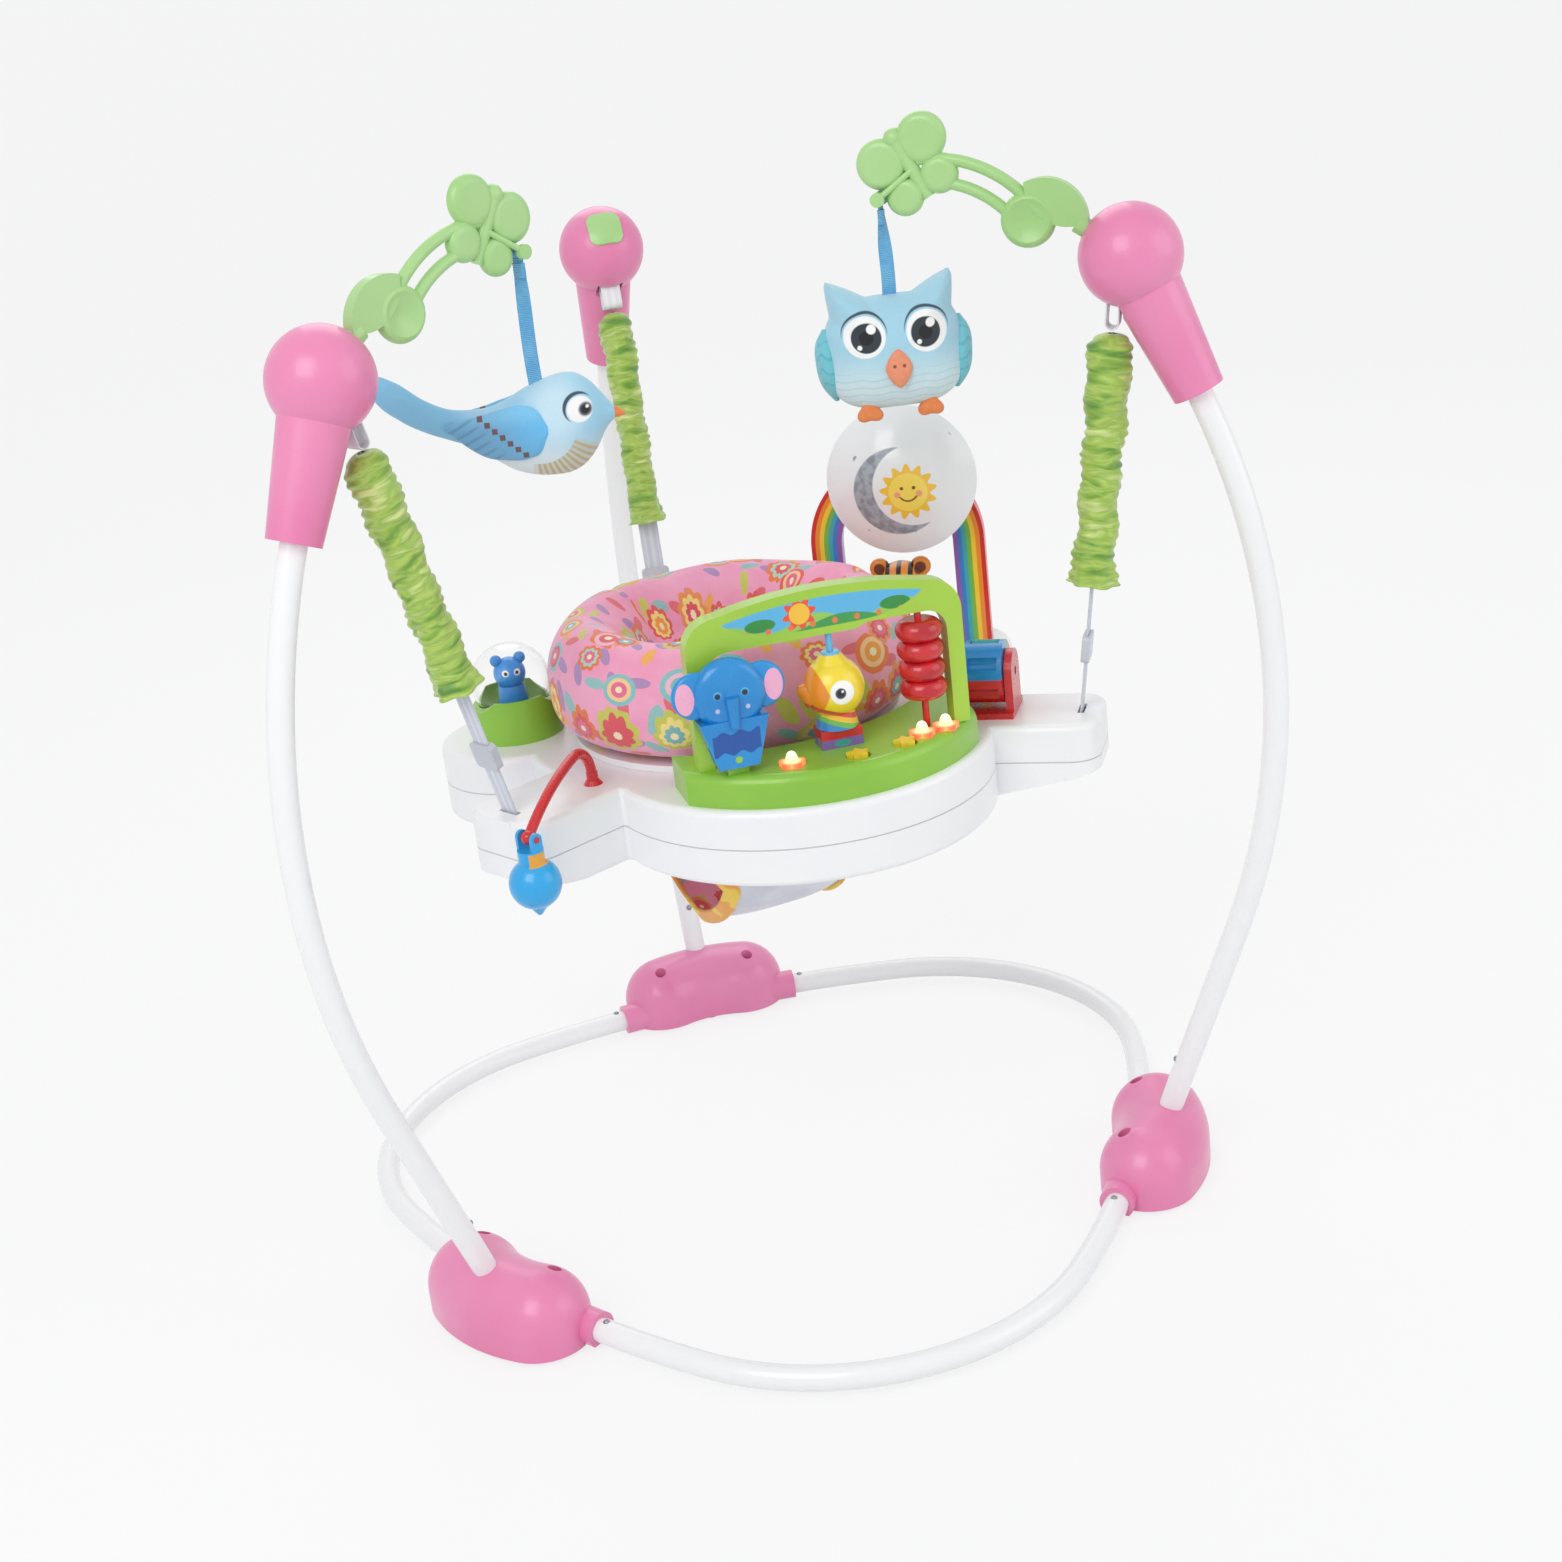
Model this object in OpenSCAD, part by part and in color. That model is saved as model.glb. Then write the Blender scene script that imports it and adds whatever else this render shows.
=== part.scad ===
// Baby jumper: a bowed three-legged tube frame with a play tray and a swivel seat hung on springs.
// Millimetres, +Z up, floor at z = 0, console side towards -Y.

/* [Frame tubes] */
// Outside diameter of the leg and base tubes
tube_d = 22; // [19:0.5:25]
// Wall of the tubes
tube_wall = 1.2; // [0.8:0.1:2]
// Distance of the base tube from the middle, at each hub
base_hub_r = 340; // [320:2:360]
// Bend radius of the nearly straight sides of the base
base_side_bend = 930; // [800:10:1100]
// Bend radius of the corners of the base
base_corner_bend = 230; // [190:5:260]
// Height of the base tube's centre line above the floor
base_tube_z = 17; // [16:0.5:20]
// Length of the straight lower end of a leg
leg_low_len = 252; // [230:2:270]
// Outward lean of the lower end of a leg
leg_low_lean = 20.3; // [18:0.1:22]
// Bend radius of the bowed part of a leg
leg_bend = 655; // [600:5:720]
// Inward lean of the top end of a leg
leg_top_lean = 23.4; // [21:0.1:26]
// Length of the straight top end of a leg, up to the ball's centre
leg_top_len = 125; // [110:1:140]

/* [Hubs and ball housings] */
// Width of a hub across the base tube
hub_w = 88; // [80:1:94]
// Height of a hub above its feet
hub_h = 64; // [58:1:70]
// Length of a hub along the base
hub_len = 180; // [170:1:190]
// Height of the rubber feet
foot_h = 4; // [3:0.5:6]
// Diameter of the ball on top of each leg
ball_d = 86; // [82:1:92]
// Diameter of the leg socket at its lower end
socket_d = 44; // [40:1:48]

/* [Suspension] */
// Width of the webbing straps
strap_w = 20; // [16:1:24]
// Thickness of the webbing straps
strap_t = 1.8; // [1.2:0.1:2.4]
// Length of the gathered fabric sleeves
sleeve_len = 215; // [190:5:235]
// Diameter of the gathered fabric sleeves
sleeve_d = 36; // [33:1:40]
// Outside diameter of the springs
spring_d = 18; // [15:0.5:19]
// Wire of the springs
spring_wire_d = 2.4; // [1.8:0.1:2.8]

/* [Tray] */
// Height of the tray's top above the floor
tray_top_z = 460; // [448:1:472]
// Overall height of the tray
tray_h = 67; // [60:1:75]
// Wall of the tray mouldings
tray_wall = 3; // [2.5:0.1:3.5]
// Radius of the round middle of the tray
tray_disc_r = 195; // [190:1:205]
// Radius of the hole for the seat
seat_hole_r = 128; // [124:1:132]
// Reach of the left tray arm from the middle
left_reach = 290; // [284:1:300]
// Reach of the right tray arm from the middle
right_reach = 336; // [325:1:345]
// Reach of the rear tray arm from the middle
rear_reach = 325; // [312:1:335]
// Width of the tray arms
arm_w = 93; // [93:1:96]
// Radius of the front lobe that carries the console
front_lobe_r = 172; // [168:1:180]
// Radius of the left lobe that carries the dome
left_lobe_r = 74; // [68:1:80]
// Radius of the right lobe that carries the rainbow
right_lobe_r = 88; // [84:1:94]

/* [Seat] */
// Radius of the middle of the bolster's padding
bolster_mid_r = 128; // [124:1:132]
// Width of the bolster's padding
bolster_w = 88; // [80:1:90]
// Height of the bolster
bolster_h = 110; // [95:1:120]
// Depth of the sling below the tray's top
sling_depth = 190; // [180:1:200]

/* [Console] */
// Height of the console base
console_h = 28; // [26:1:32]
// Width of the console arch
arch_w = 238; // [228:1:244]
// Height of the console arch at its sides
arch_side_h = 128; // [122:1:134]
// Rise of the arch's crown above its sides
arch_rise = 10; // [8:1:16]
// Height of the window under the header
window_h = 98; // [94:1:102]

/* [Toys] */
// Diameter of the clear dome
dome_d = 74; // [70:1:80]
// Diameter of the globe disc
globe_d = 142; // [130:1:148]
// Thickness of the globe disc
globe_t = 60; // [50:1:66]
// Diameter of the roller drum
roller_d = 56; // [48:1:60]
// Length of the ribbon that the stuffed bird hangs on
bird_ribbon_len = 104; // [96:1:116]
// Length of the ribbon that the stuffed owl hangs on
owl_ribbon_len = 86; // [78:1:96]

/* [Hidden] */

$fn = 64;
tube_fn = 48;
bend_fn = 240;
eps = 0.01;
big = 2000;

// Clearances
tube_fit = 0.15;
run_fit = 0.05;
seat_gap = 0.3;
move_gap = 0.5;

// Colours
white = [0.94, 0.94, 0.95];
pink = [0.92, 0.52, 0.71];
lime = [0.55, 0.78, 0.25];
leaf = [0.64, 0.82, 0.52];
steel = [0.62, 0.64, 0.67];
sky = [0.59, 0.82, 0.92];
blue = [0.1, 0.55, 0.85];
red = [0.84, 0.14, 0.18];
yellow = [0.94, 0.86, 0.2];
orange = [0.94, 0.55, 0.1];
webbing = [0.8, 0.82, 0.87];

// Directions of the legs and of the base corners between them
left_az = 210;
right_az = 330;
rear_az = 90;
leg_azs = [left_az, right_az, rear_az];
function reach(az) = az == left_az ? left_reach : az == right_az ? right_reach : rear_reach;

// Base: three side arcs tangent to three corner arcs
tube_r = tube_d/2;
side_c = base_side_bend - base_hub_r;
arc_gap = base_side_bend - base_corner_bend;
corner_c = (-side_c + sqrt(4*arc_gap*arc_gap - 3*side_c*side_c))/2;
side_half = atan2(corner_c*sin(60), side_c + corner_c*cos(60));
corner_half = 60 - side_half;
vertex_r = corner_c + base_corner_bend;

// Leg: straight foot, bow, straight top
leg_foot_out = 17;
leg_foot_z = 12;
leg_foot_r = base_hub_r + leg_foot_out;
bow_r0 = leg_foot_r + leg_low_len*sin(leg_low_lean);
bow_z0 = leg_foot_z + leg_low_len*cos(leg_low_lean);
bow_cr = bow_r0 - leg_bend*cos(leg_low_lean);
bow_cz = bow_z0 + leg_bend*sin(leg_low_lean);
bow_r1 = bow_cr + leg_bend*cos(leg_top_lean);
bow_z1 = bow_cz + leg_bend*sin(leg_top_lean);
ball_r = bow_r1 - leg_top_len*sin(leg_top_lean);
ball_z = bow_z1 + leg_top_len*cos(leg_top_lean);
leg_end_gap = 28;

// The tray's axis stands behind the middle of the footprint, because one leg bows out to the rear
axis_y = -(bow_cr + leg_bend - vertex_r)/2;

// Hub
hub_c_r = base_hub_r + 26;
hub_bend = 130;
hub_shoulder = hub_h - hub_w/2;
hub_half_angle = asin((hub_len - hub_w)/2/hub_bend);
tube_end_gap = 16;
gap_angle = tube_end_gap/base_side_bend*180/PI;
collar_d = tube_d + 10;
collar_angle = (hub_len/2 + 9)/base_side_bend*180/PI;
hub_screw_angle = 50/base_side_bend*180/PI;
hub_screw_z = base_tube_z + tube_r + 8;
button_angle = (hub_len/2 + 17)/base_side_bend*180/PI;
button_d = 6;
button_out = 2;
leg_button_s = 105;
screw_d = 4;
screw_head_d = 7;
screw_head_h = 2.5;

// Ball housing: toy-bar socket and hanger
bar_angle = 35;
bar_peg_d = 16;
bar_peg_depth = 20;
pin_d = 8;
recess_w = pin_d + 10;
hang_in = 12;
hang_drop = 14;
hang_r = ball_r - hang_in;
hang_z = ball_z - hang_drop;
slot_in = 18;
function slot_r(az) = reach(az) - slot_in;
function hang_tilt(az) = atan2(hang_r - slot_r(az), hang_z - tray_top_z);
function hang_len(az) = norm([hang_r - slot_r(az), hang_z - tray_top_z]);
loop_gap = pin_d + 0.6;
sleeve_s0 = ball_d/2 + 6;
sleeve_s1 = sleeve_s0 + sleeve_len;
spring_s0 = sleeve_s0 - 3;
spring_s1 = sleeve_s1 - 9;
strap_s0 = spring_s1 + seat_gap;
spring_curls = 8;
curl_rings = 8;
wire_sides = 6;
adjuster_up = 58;
stop_w = 10;
stop_h = 8;

// Tray levels
tray_z0 = tray_top_z - tray_h;
tray_split_z = tray_z0 + tray_h/2;
tray_edge = 6;
front_lobe = [30, -100];
left_lobe = 206*[cos(160), sin(160)];
right_lobe = 236*[cos(25), sin(25)];
arm_corner = 24;
arm_bosses_r = 214;
arm_sweep_angle = 12;
boss_d = 11;
tray_boss_at = [
    arm_bosses_r*[cos(rear_az), sin(rear_az)],
    arm_bosses_r*[cos(left_az), sin(left_az)],
    arm_bosses_r*[cos(right_az), sin(right_az)],
    left_lobe + 50*[cos(150), sin(150)],
    right_lobe + 62*[cos(60), sin(60)],
    front_lobe + 140*[cos(225), sin(225)],
    front_lobe + 140*[cos(315), sin(315)]
];
door_size = [84, 62];
door_at = [front_lobe.x, front_lobe.y - 104];
cell_d = 14.2;
cell_len = 50.5;

// Seat
ring_wall = 7;
ring_flange_r = seat_hole_r + 22;
ring_flange_t = 6;
ring_r = seat_hole_r - move_gap;
flange_z = tray_top_z + seat_gap;
flange_top = flange_z + ring_flange_t;
bolster_clear_r = bolster_mid_r + bolster_w/2;
sling_r = ring_r - ring_wall - move_gap;
sling_t = 3;
seat_turn = 10;

// Console, standing on the front lobe clear of the bolster
console_x = front_lobe.x + 6;
console_y = -200;
console_top = tray_top_z + console_h;
console_base_r = front_lobe_r - 8;
console_base_w = 262;
arch_t = 18;
arch_bar = 14;
arch_corner = 28;
bay_w = 84;
bay_up = 4;
toy_y = console_y - 3;
elephant_at = [console_x - 90, console_y - 24];
parrot_x = console_x + 4;
bead_x = console_x + 82;
perch = [36, 24, 16];
spindle_d = 6;
spindle_in = 8;
star_at = [[console_x + 9, -241], [console_x + 52, -234]];
star_r = 10;
star_travel = 2.5;
light_at = [[console_x - 46, -234], [console_x + 71, -223], [console_x + 94, -217]];

// Dome, rainbow, roller and dangling toy
dome_at = 208*[cos(159), sin(159)];
dome_z = tray_top_z + 12 + dome_d/2;
rainbow_az = -25;
globe_x = 14;
rainbow_at = right_lobe - globe_x*[cos(rainbow_az), sin(rainbow_az)];
rainbow_out = 84;
rainbow_band = 30;
rainbow_t = 14;
rainbow_c_z = tray_top_z + 108;
globe_z = rainbow_c_z + rainbow_out - rainbow_band/2;
globe_off = rainbow_t/2 + 0.6 + globe_t/2;
axle_d = 8;
roller_r0 = 236;
roller_len = 34;
roller_z = tray_top_z + 9 + roller_d/2;
stem_d = 9;
stem_plug = [190, 14];
stem_turn = 25.5;
stem_rise = 8;
stem_bend1 = 28;
stem_bend2 = 246;
stem_turn1 = 95;
stem_turn2 = 25;
stem_knob_d = stem_d + 3;
dangle_pin_d = 5;

// Toy bars and stuffed toys, in the plane of a leg
bar_cr = ball_r - 166;
bar_cz = ball_z - 20;
bar_bend = 111;
bar_bend_in = 92;
bar_stem_d = 10;
bar_t = 12;
butterfly_r = bar_cr - 8;
butterfly_z = bar_cz + bar_bend - 8;
prong_y = 4;
hook_r = ball_r - 204;
hook_z = ball_z + 62;
hook_d = 6;
toy_az = -12;
bird_hook = hook_r*[cos(left_az), sin(left_az)];
owl_hook = hook_r*[cos(right_az), sin(right_az)];
ribbon_w = 12;
ribbon_t = 1.6;

// Outline helpers

// Carries a section round an arc in the XY plane.
module arc(r, a0, a1) {
    rotate([0, 0, a0])
        rotate_extrude(angle = a1 - a0, $fn = bend_fn)
            translate([r, 0]) children();
}

// Round disc with a rounded top edge.
module puck(r, h, f) {
    rotate_extrude($fn = 96) {
        square([r, h - f]);
        square([r - f, h]);
        intersection() {
            translate([r - f, h - f]) circle(f, $fn = 32);
            translate([max(r - 2*f, 0), 0]) square([2*f, h]);
        }
    }
}

// Rounded rectangle from squares and circles.
module round_rect(w, h, r) {
    translate([-w/2 + r, 0]) square([w - 2*r, h]);
    translate([-w/2, r]) square([w, h - 2*r]);
    for (x = [-w/2 + r, w/2 - r], y = [r, h - r])
        translate([x, y]) circle(r, $fn = 48);
}

// Bar with rounded top edges, along +X.
module round_bar(x0, x1, w, h, f) {
    translate([x0, 0, 0]) rotate([90, 0, 90]) linear_extrude(x1 - x0) {
        translate([-w/2, 0]) square([w, h - f]);
        translate([-w/2 + f, 0]) square([w - 2*f, h]);
        for (s = [-1, 1]) translate([s*(w/2 - f), h - f]) circle(f, $fn = 32);
    }
}

// Disc facing +Y with rounded rims, for wings, leaves and ears.
module pad_disc(r, t) {
    rotate([90, 0, 0]) translate([0, 0, -t/2]) rotate_extrude() {
        square([r - t/2, t]);
        intersection() {
            translate([r - t/2, t/2]) circle(t/2, $fn = 32);
            square([r, t]);
        }
    }
}

// Faceted forms

// Triangles of a grid of rings closed in both directions.
function ring_grid(n, m) = [
    for (i = [0:n - 1], j = [0:m - 1])
        each [
            [i*m + j, ((i + 1) % n)*m + j, ((i + 1) % n)*m + (j + 1) % m],
            [i*m + j, ((i + 1) % n)*m + (j + 1) % m, i*m + (j + 1) % m]
        ]
];

// Triangles of a row of rings with a fan over each end.
function ring_row(n, m) = concat(
    [
        for (i = [0:n - 2], j = [0:m - 1])
            each [
                [i*m + j, (i + 1)*m + j, (i + 1)*m + (j + 1) % m],
                [i*m + j, (i + 1)*m + (j + 1) % m, i*m + (j + 1) % m]
            ]
    ],
    [for (j = [0:m - 1]) [n*m, j, (j + 1) % m]],
    [for (j = [0:m - 1]) [n*m + 1, (n - 1)*m + (j + 1) % m, (n - 1)*m + j]]
);

function middle(ring) = [for (k = [0:2]) [for (p = ring) p[k]]*[for (p = ring) 1]/len(ring)];

module loft(rings) {
    points = concat([for (r = rings) each r], [middle(rings[0]), middle(rings[len(rings) - 1])]);
    polyhedron(points, ring_row(len(rings), len(rings[0])));
}

// Body carried through oval stations [x, z, half height, half width] along X.
function oval_rings(stations, sides) = [
    for (s = stations) [for (j = [0:sides - 1]) [s[0], s[3]*cos(360*j/sides), s[1] + s[2]*sin(360*j/sides)]]
];

// Base tubes

// Sweeps the children along the base between two neighbouring hubs, round the corner on +X.
module base_path(gap) {
    translate([corner_c, 0, 0]) arc(base_corner_bend, -corner_half, corner_half) children();
    for (s = [0, 1]) mirror([0, s, 0])
        rotate([0, 0, 60]) translate([-side_c, 0, 0])
            arc(base_side_bend, -side_half, -gap) children();
}

// Places the children on the base's centre line, an angle away from a hub on +X.
module on_side(angle) {
    translate([-side_c, 0, 0]) rotate([0, 0, angle]) translate([base_side_bend, 0, 0]) children();
}

module base_tube(az) {
    color(white) rotate([0, 0, az]) translate([0, 0, base_tube_z]) difference() {
        base_path(gap_angle) difference() {
            circle(d = tube_d, $fn = tube_fn);
            circle(d = tube_d - 2*tube_wall, $fn = tube_fn);
        }
        for (s = [0, 1]) mirror([0, s, 0]) rotate([0, 0, 60]) {
            on_side(-hub_screw_angle) cylinder(d = screw_d + 0.4, h = tube_d);
            on_side(-button_angle) cylinder(d = button_d + 0.2, h = tube_d);
        }
    }
}

// Legs

// Places the children at the foot of a leg, with +Z up along its straight lower end.
module at_foot() {
    translate([leg_foot_r, 0, leg_foot_z]) rotate([0, leg_low_lean, 0]) children();
}

// Places the children at the ball's centre, with -Z down along the leg's straight top end.
module at_ball() {
    translate([ball_r, 0, ball_z]) rotate([0, -leg_top_lean, 0]) children();
}

module leg_rod(d) {
    at_foot() cylinder(d = d, h = leg_low_len, $fn = tube_fn);
    translate([bow_cr, 0, bow_cz]) rotate([90, 0, 0])
        arc(leg_bend, -leg_low_lean, leg_top_lean) circle(d = d, $fn = tube_fn);
    at_ball() translate([0, 0, -leg_top_len]) cylinder(d = d, h = leg_top_len - leg_end_gap, $fn = tube_fn);
}

module leg(az) {
    color(white) rotate([0, 0, az]) difference() {
        leg_rod(tube_d);
        leg_rod(tube_d - 2*tube_wall);
        at_foot() translate([0, 0, -eps]) cylinder(d = tube_d - 2*tube_wall, h = 1, $fn = tube_fn);
        at_foot() translate([0, 0, leg_button_s]) rotate([0, -90, 0])
            cylinder(d = button_d + 0.2, h = tube_d);
    }
}

// Hubs

module hub_section() {
    intersection() {
        union() {
            translate([-hub_w/2, 0]) square([hub_w, hub_shoulder]);
            translate([0, hub_shoulder]) circle(d = hub_w);
        }
        translate([-hub_w/2, 0]) square([hub_w, hub_h]);
    }
}

module hub_shell() {
    translate([hub_c_r - hub_bend, 0, foot_h]) {
        arc(hub_bend, -hub_half_angle, hub_half_angle) hub_section();
        for (s = [0, 1]) mirror([0, s, 0]) rotate([0, 0, hub_half_angle]) translate([hub_bend, 0, 0])
            rotate_extrude(angle = 180) intersection() {
                hub_section();
                square([hub_w, hub_h]);
            }
    }
    for (s = [0, 1]) mirror([0, s, 0]) translate([-side_c, 0, base_tube_z])
        arc(base_side_bend, hub_screw_angle/2, collar_angle) intersection() {
            circle(d = collar_d);
            translate([-collar_d/2, foot_h + 1 - base_tube_z]) square(collar_d);
        }
}

foot_at = [[hub_c_r + 18, -42], [hub_c_r + 18, 42], [hub_c_r - 26, 0]];
foot_d = 22;
foot_peg_d = 6;

module hub(az) {
    color(pink) rotate([0, 0, az]) difference() {
        hub_shell();
        for (s = [0, 1]) mirror([0, s, 0]) translate([0, 0, base_tube_z]) {
            translate([-side_c, 0, 0]) arc(base_side_bend, gap_angle - 0.02, collar_angle + 1)
                circle(d = tube_d + 2*tube_fit, $fn = tube_fn);
            on_side(hub_screw_angle) {
                cylinder(d = screw_d + 0.4, h = hub_h);
                translate([0, 0, hub_screw_z - base_tube_z]) cylinder(d = 12, h = hub_h);
            }
        }
        at_foot() translate([0, 0, -seat_gap]) cylinder(d = tube_d + 2*tube_fit, h = 2*hub_h, $fn = tube_fn);
        for (p = foot_at) translate([p.x, p.y, foot_h - eps]) cylinder(d = foot_peg_d + 0.2, h = 6.3);
    }
}

module hub_feet() {
    color([0.25, 0.25, 0.27]) for (az = leg_azs, p = foot_at) rotate([0, 0, az]) translate([p.x, p.y, 0]) {
        cylinder(d = foot_d, h = foot_h);
        cylinder(d = foot_peg_d, h = foot_h + 6);
    }
}

// Snap buttons: one on each tube end beside a hub, and one on each leg above its hub.
module snap_buttons() {
    color(steel) for (az = leg_azs) rotate([0, 0, az]) {
        for (s = [-1, 1]) translate([0, 0, base_tube_z]) on_side(s*button_angle) button_pin();
        at_foot() translate([0, 0, leg_button_s]) rotate([0, -90, 0]) button_pin();
    }
}

module button_pin() {
    stem = tube_r + button_out - button_d/2;
    translate([0, 0, tube_r - 4]) cylinder(d = button_d, h = stem - tube_r + 4);
    translate([0, 0, stem]) sphere(d = button_d, $fn = 32);
}

module screw(len) {
    translate([0, 0, -screw_head_h]) cylinder(d = screw_head_d, h = screw_head_h);
    translate([0, 0, -eps]) cylinder(d = screw_d, h = len + eps);
}

// Ball housings

screw_spots = [[14, 27], [27, 8]];
screw_in = 14;
screw_sink = 20;

module housing_shell() {
    translate([ball_r, 0, ball_z]) sphere(d = ball_d, $fn = 96);
    at_ball() translate([0, 0, -leg_top_len])
        cylinder(d1 = socket_d, d2 = ball_d - 24, h = leg_top_len, $fn = 96);
}

// Frame at the hanger pin, with -Z down along the strap.
module hung(az) {
    translate([hang_r, 0, hang_z]) rotate([0, hang_tilt(az), 0]) children();
}

// Frame at the ball's centre, with +Z out along the toy-bar socket.
module at_bar() {
    translate([ball_r, 0, ball_z]) rotate([0, bar_angle - 90, 0]) children();
}

// One half without its screw holes, on the +Y side of the leg's plane.
module housing_blank(az) {
    difference() {
        intersection() {
            housing_shell();
            translate([-big/2, 0, 0]) cube([big, big/2, big]);
        }
        at_ball() translate([0, 0, -leg_top_len - 1])
            cylinder(d = tube_d + 2*tube_fit, h = leg_top_len + 1 - leg_end_gap + seat_gap, $fn = tube_fn);
        at_bar() translate([0, 0, ball_d/2 - bar_peg_depth]) cylinder(d = bar_peg_d + 0.2, h = ball_d);
        hung(az) {
            rotate([90, 0, 0]) cylinder(d = pin_d + 2*run_fit, h = 46, center = true);
            rotate([90, 0, 0]) cylinder(d = recess_w, h = strap_w + 6, center = true);
            translate([-recess_w/2, -strap_w/2 - 3, -ball_d]) cube([recess_w, strap_w + 6, ball_d]);
        }
    }
}

module housing(az, side) {
    color(pink) rotate([0, 0, az]) difference() {
        mirror([0, side > 0 ? 0 : 1, 0]) housing_blank(az);
        mirror([0, az == right_az ? 1 : 0, 0])
            for (p = screw_spots) translate([ball_r + p.x, 0, ball_z + p.y]) rotate([-90, 0, 0]) {
            translate([0, 0, -screw_sink]) cylinder(d = screw_d + 0.2, h = screw_sink + screw_in + 1);
            translate([0, 0, -ball_d]) cylinder(d = screw_head_d + 1, h = ball_d - screw_sink);
        }
    }
}

module frame_screws() {
    color(steel) for (az = leg_azs) rotate([0, 0, az]) {
        for (s = [-1, 1]) on_side(s*hub_screw_angle) translate([0, 0, hub_screw_z]) mirror([0, 0, 1])
            screw(hub_screw_z - base_tube_z);
        mirror([0, az == right_az ? 1 : 0, 0])
            for (p = screw_spots) translate([ball_r + p.x, -screw_sink, ball_z + p.y]) rotate([-90, 0, 0])
            screw(screw_sink + screw_in);
    }
}

module hanger_pins() {
    color(steel) for (az = leg_azs) rotate([0, 0, az]) hung(az) rotate([90, 0, 0])
        cylinder(d = pin_d, h = 44, center = true);
}

// Cap over the empty toy-bar socket of the rear ball.
module rear_socket_cap() {
    color(leaf) rotate([0, 0, rear_az]) {
        at_bar() translate([0, 0, ball_d/2 - bar_peg_depth + seat_gap])
            cylinder(d = bar_peg_d, h = bar_peg_depth - 2);
        difference() {
            intersection() {
                translate([ball_r, 0, ball_z]) sphere(d = ball_d + 5, $fn = 96);
                at_bar() linear_extrude(ball_d) translate([0, -17]) round_rect(34, 34, 9);
            }
            translate([ball_r, 0, ball_z]) sphere(d = ball_d + 2*seat_gap, $fn = 96);
        }
        at_bar() translate([0, 0, ball_d/2 - 4]) cylinder(d = bar_peg_d, h = 5.5);
    }
}

// Toy bars: a leaf at the ball, a dished round leaf, two bent stems and a butterfly.

module toy_bar(az) {
    color(leaf) rotate([0, 0, az]) {
        at_bar() {
            translate([0, 0, ball_d/2 - bar_peg_depth + seat_gap])
                cylinder(d = bar_peg_d, h = bar_peg_depth + 8);
            leaf_blade();
        }
        translate([bar_cr, 0, bar_cz]) {
            for (r = [bar_bend, bar_bend_in]) rotate([90, 0, 0])
                arc(r, 28, 92) circle(d = bar_stem_d, $fn = 32);
            rotate([0, -33, 0]) translate([bar_bend - 10, 0, 0]) round_leaf();
        }
        butterfly();
        translate([hook_r, 0, hook_z]) hook();
    }
}

// Peg for a ribbon, between two eyes on prongs that run back into the butterfly.
module hook() {
    eye_t = 5;
    eye_y = ribbon_w/2 + 1 + eye_t/2;
    rotate([90, 0, 0]) cylinder(d = hook_d, h = 2*eye_y, center = true);
    for (s = [-1, 1]) translate([0, s*eye_y, 0]) {
        prong = [butterfly_r - hook_r, s*(prong_y - eye_y), butterfly_z - hook_z];
        rotate([90, 0, 0]) cylinder(d = 2*hook_d, h = eye_t, center = true);
        rotate([0, acos(prong.z/norm(prong)), atan2(prong.y, prong.x)]) cylinder(d = eye_t, h = norm(prong));
    }
}

// Pointed leaf standing on the ball, between two arcs.
module leaf_blade() {
    half_w = 17;
    len = 62;
    r = (half_w*half_w + len*len/4)/(2*half_w);
    translate([6, 0, ball_d/2 + seat_gap + len/2]) intersection_for(s = [-1, 1])
        translate([s*(r - half_w), 0, 0]) rotate([90, 0, 0]) cylinder(r = r, h = bar_t, center = true);
}

module round_leaf() {
    difference() {
        pad_disc(23, bar_t + 4);
        for (s = [-1, 1]) translate([0, s*(bar_t + 38), 0]) sphere(r = 46);
    }
}

// Butterfly with two large and two small wings round a slim body.
module butterfly() {
    translate([butterfly_r, 0, butterfly_z]) rotate([0, -28, 0]) {
        for (s = [-1, 1]) {
            translate([s*20, 0, 18]) pad_disc(21, bar_t + 2);
            translate([s*17, 0, -15]) pad_disc(16, bar_t + 2);
        }
        translate([0, 0, -26]) cylinder(d1 = 10, d2 = 15, h = 56);
        translate([0, 0, 30]) sphere(d = 17, $fn = 32);
    }
}

// Suspension

module webbing_loops() {
    mid = loop_gap/2 + strap_t/2;
    drop = spring_s0 - seat_gap - loop_gap/2 - strap_t;
    color(webbing) for (az = leg_azs) rotate([0, 0, az]) hung(az) {
        rotate([90, 0, 0]) translate([0, 0, -strap_w/2]) linear_extrude(strap_w) difference() {
            union() {
                circle(r = mid + strap_t/2);
                translate([0, -drop]) circle(r = mid + strap_t/2);
                translate([-mid - strap_t/2, -drop]) square([2*mid + strap_t, drop]);
            }
            circle(r = mid - strap_t/2);
            translate([0, -drop]) circle(r = mid - strap_t/2);
            translate([-mid + strap_t/2, -drop]) square([2*mid - strap_t, drop]);
        }
    }
}

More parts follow.
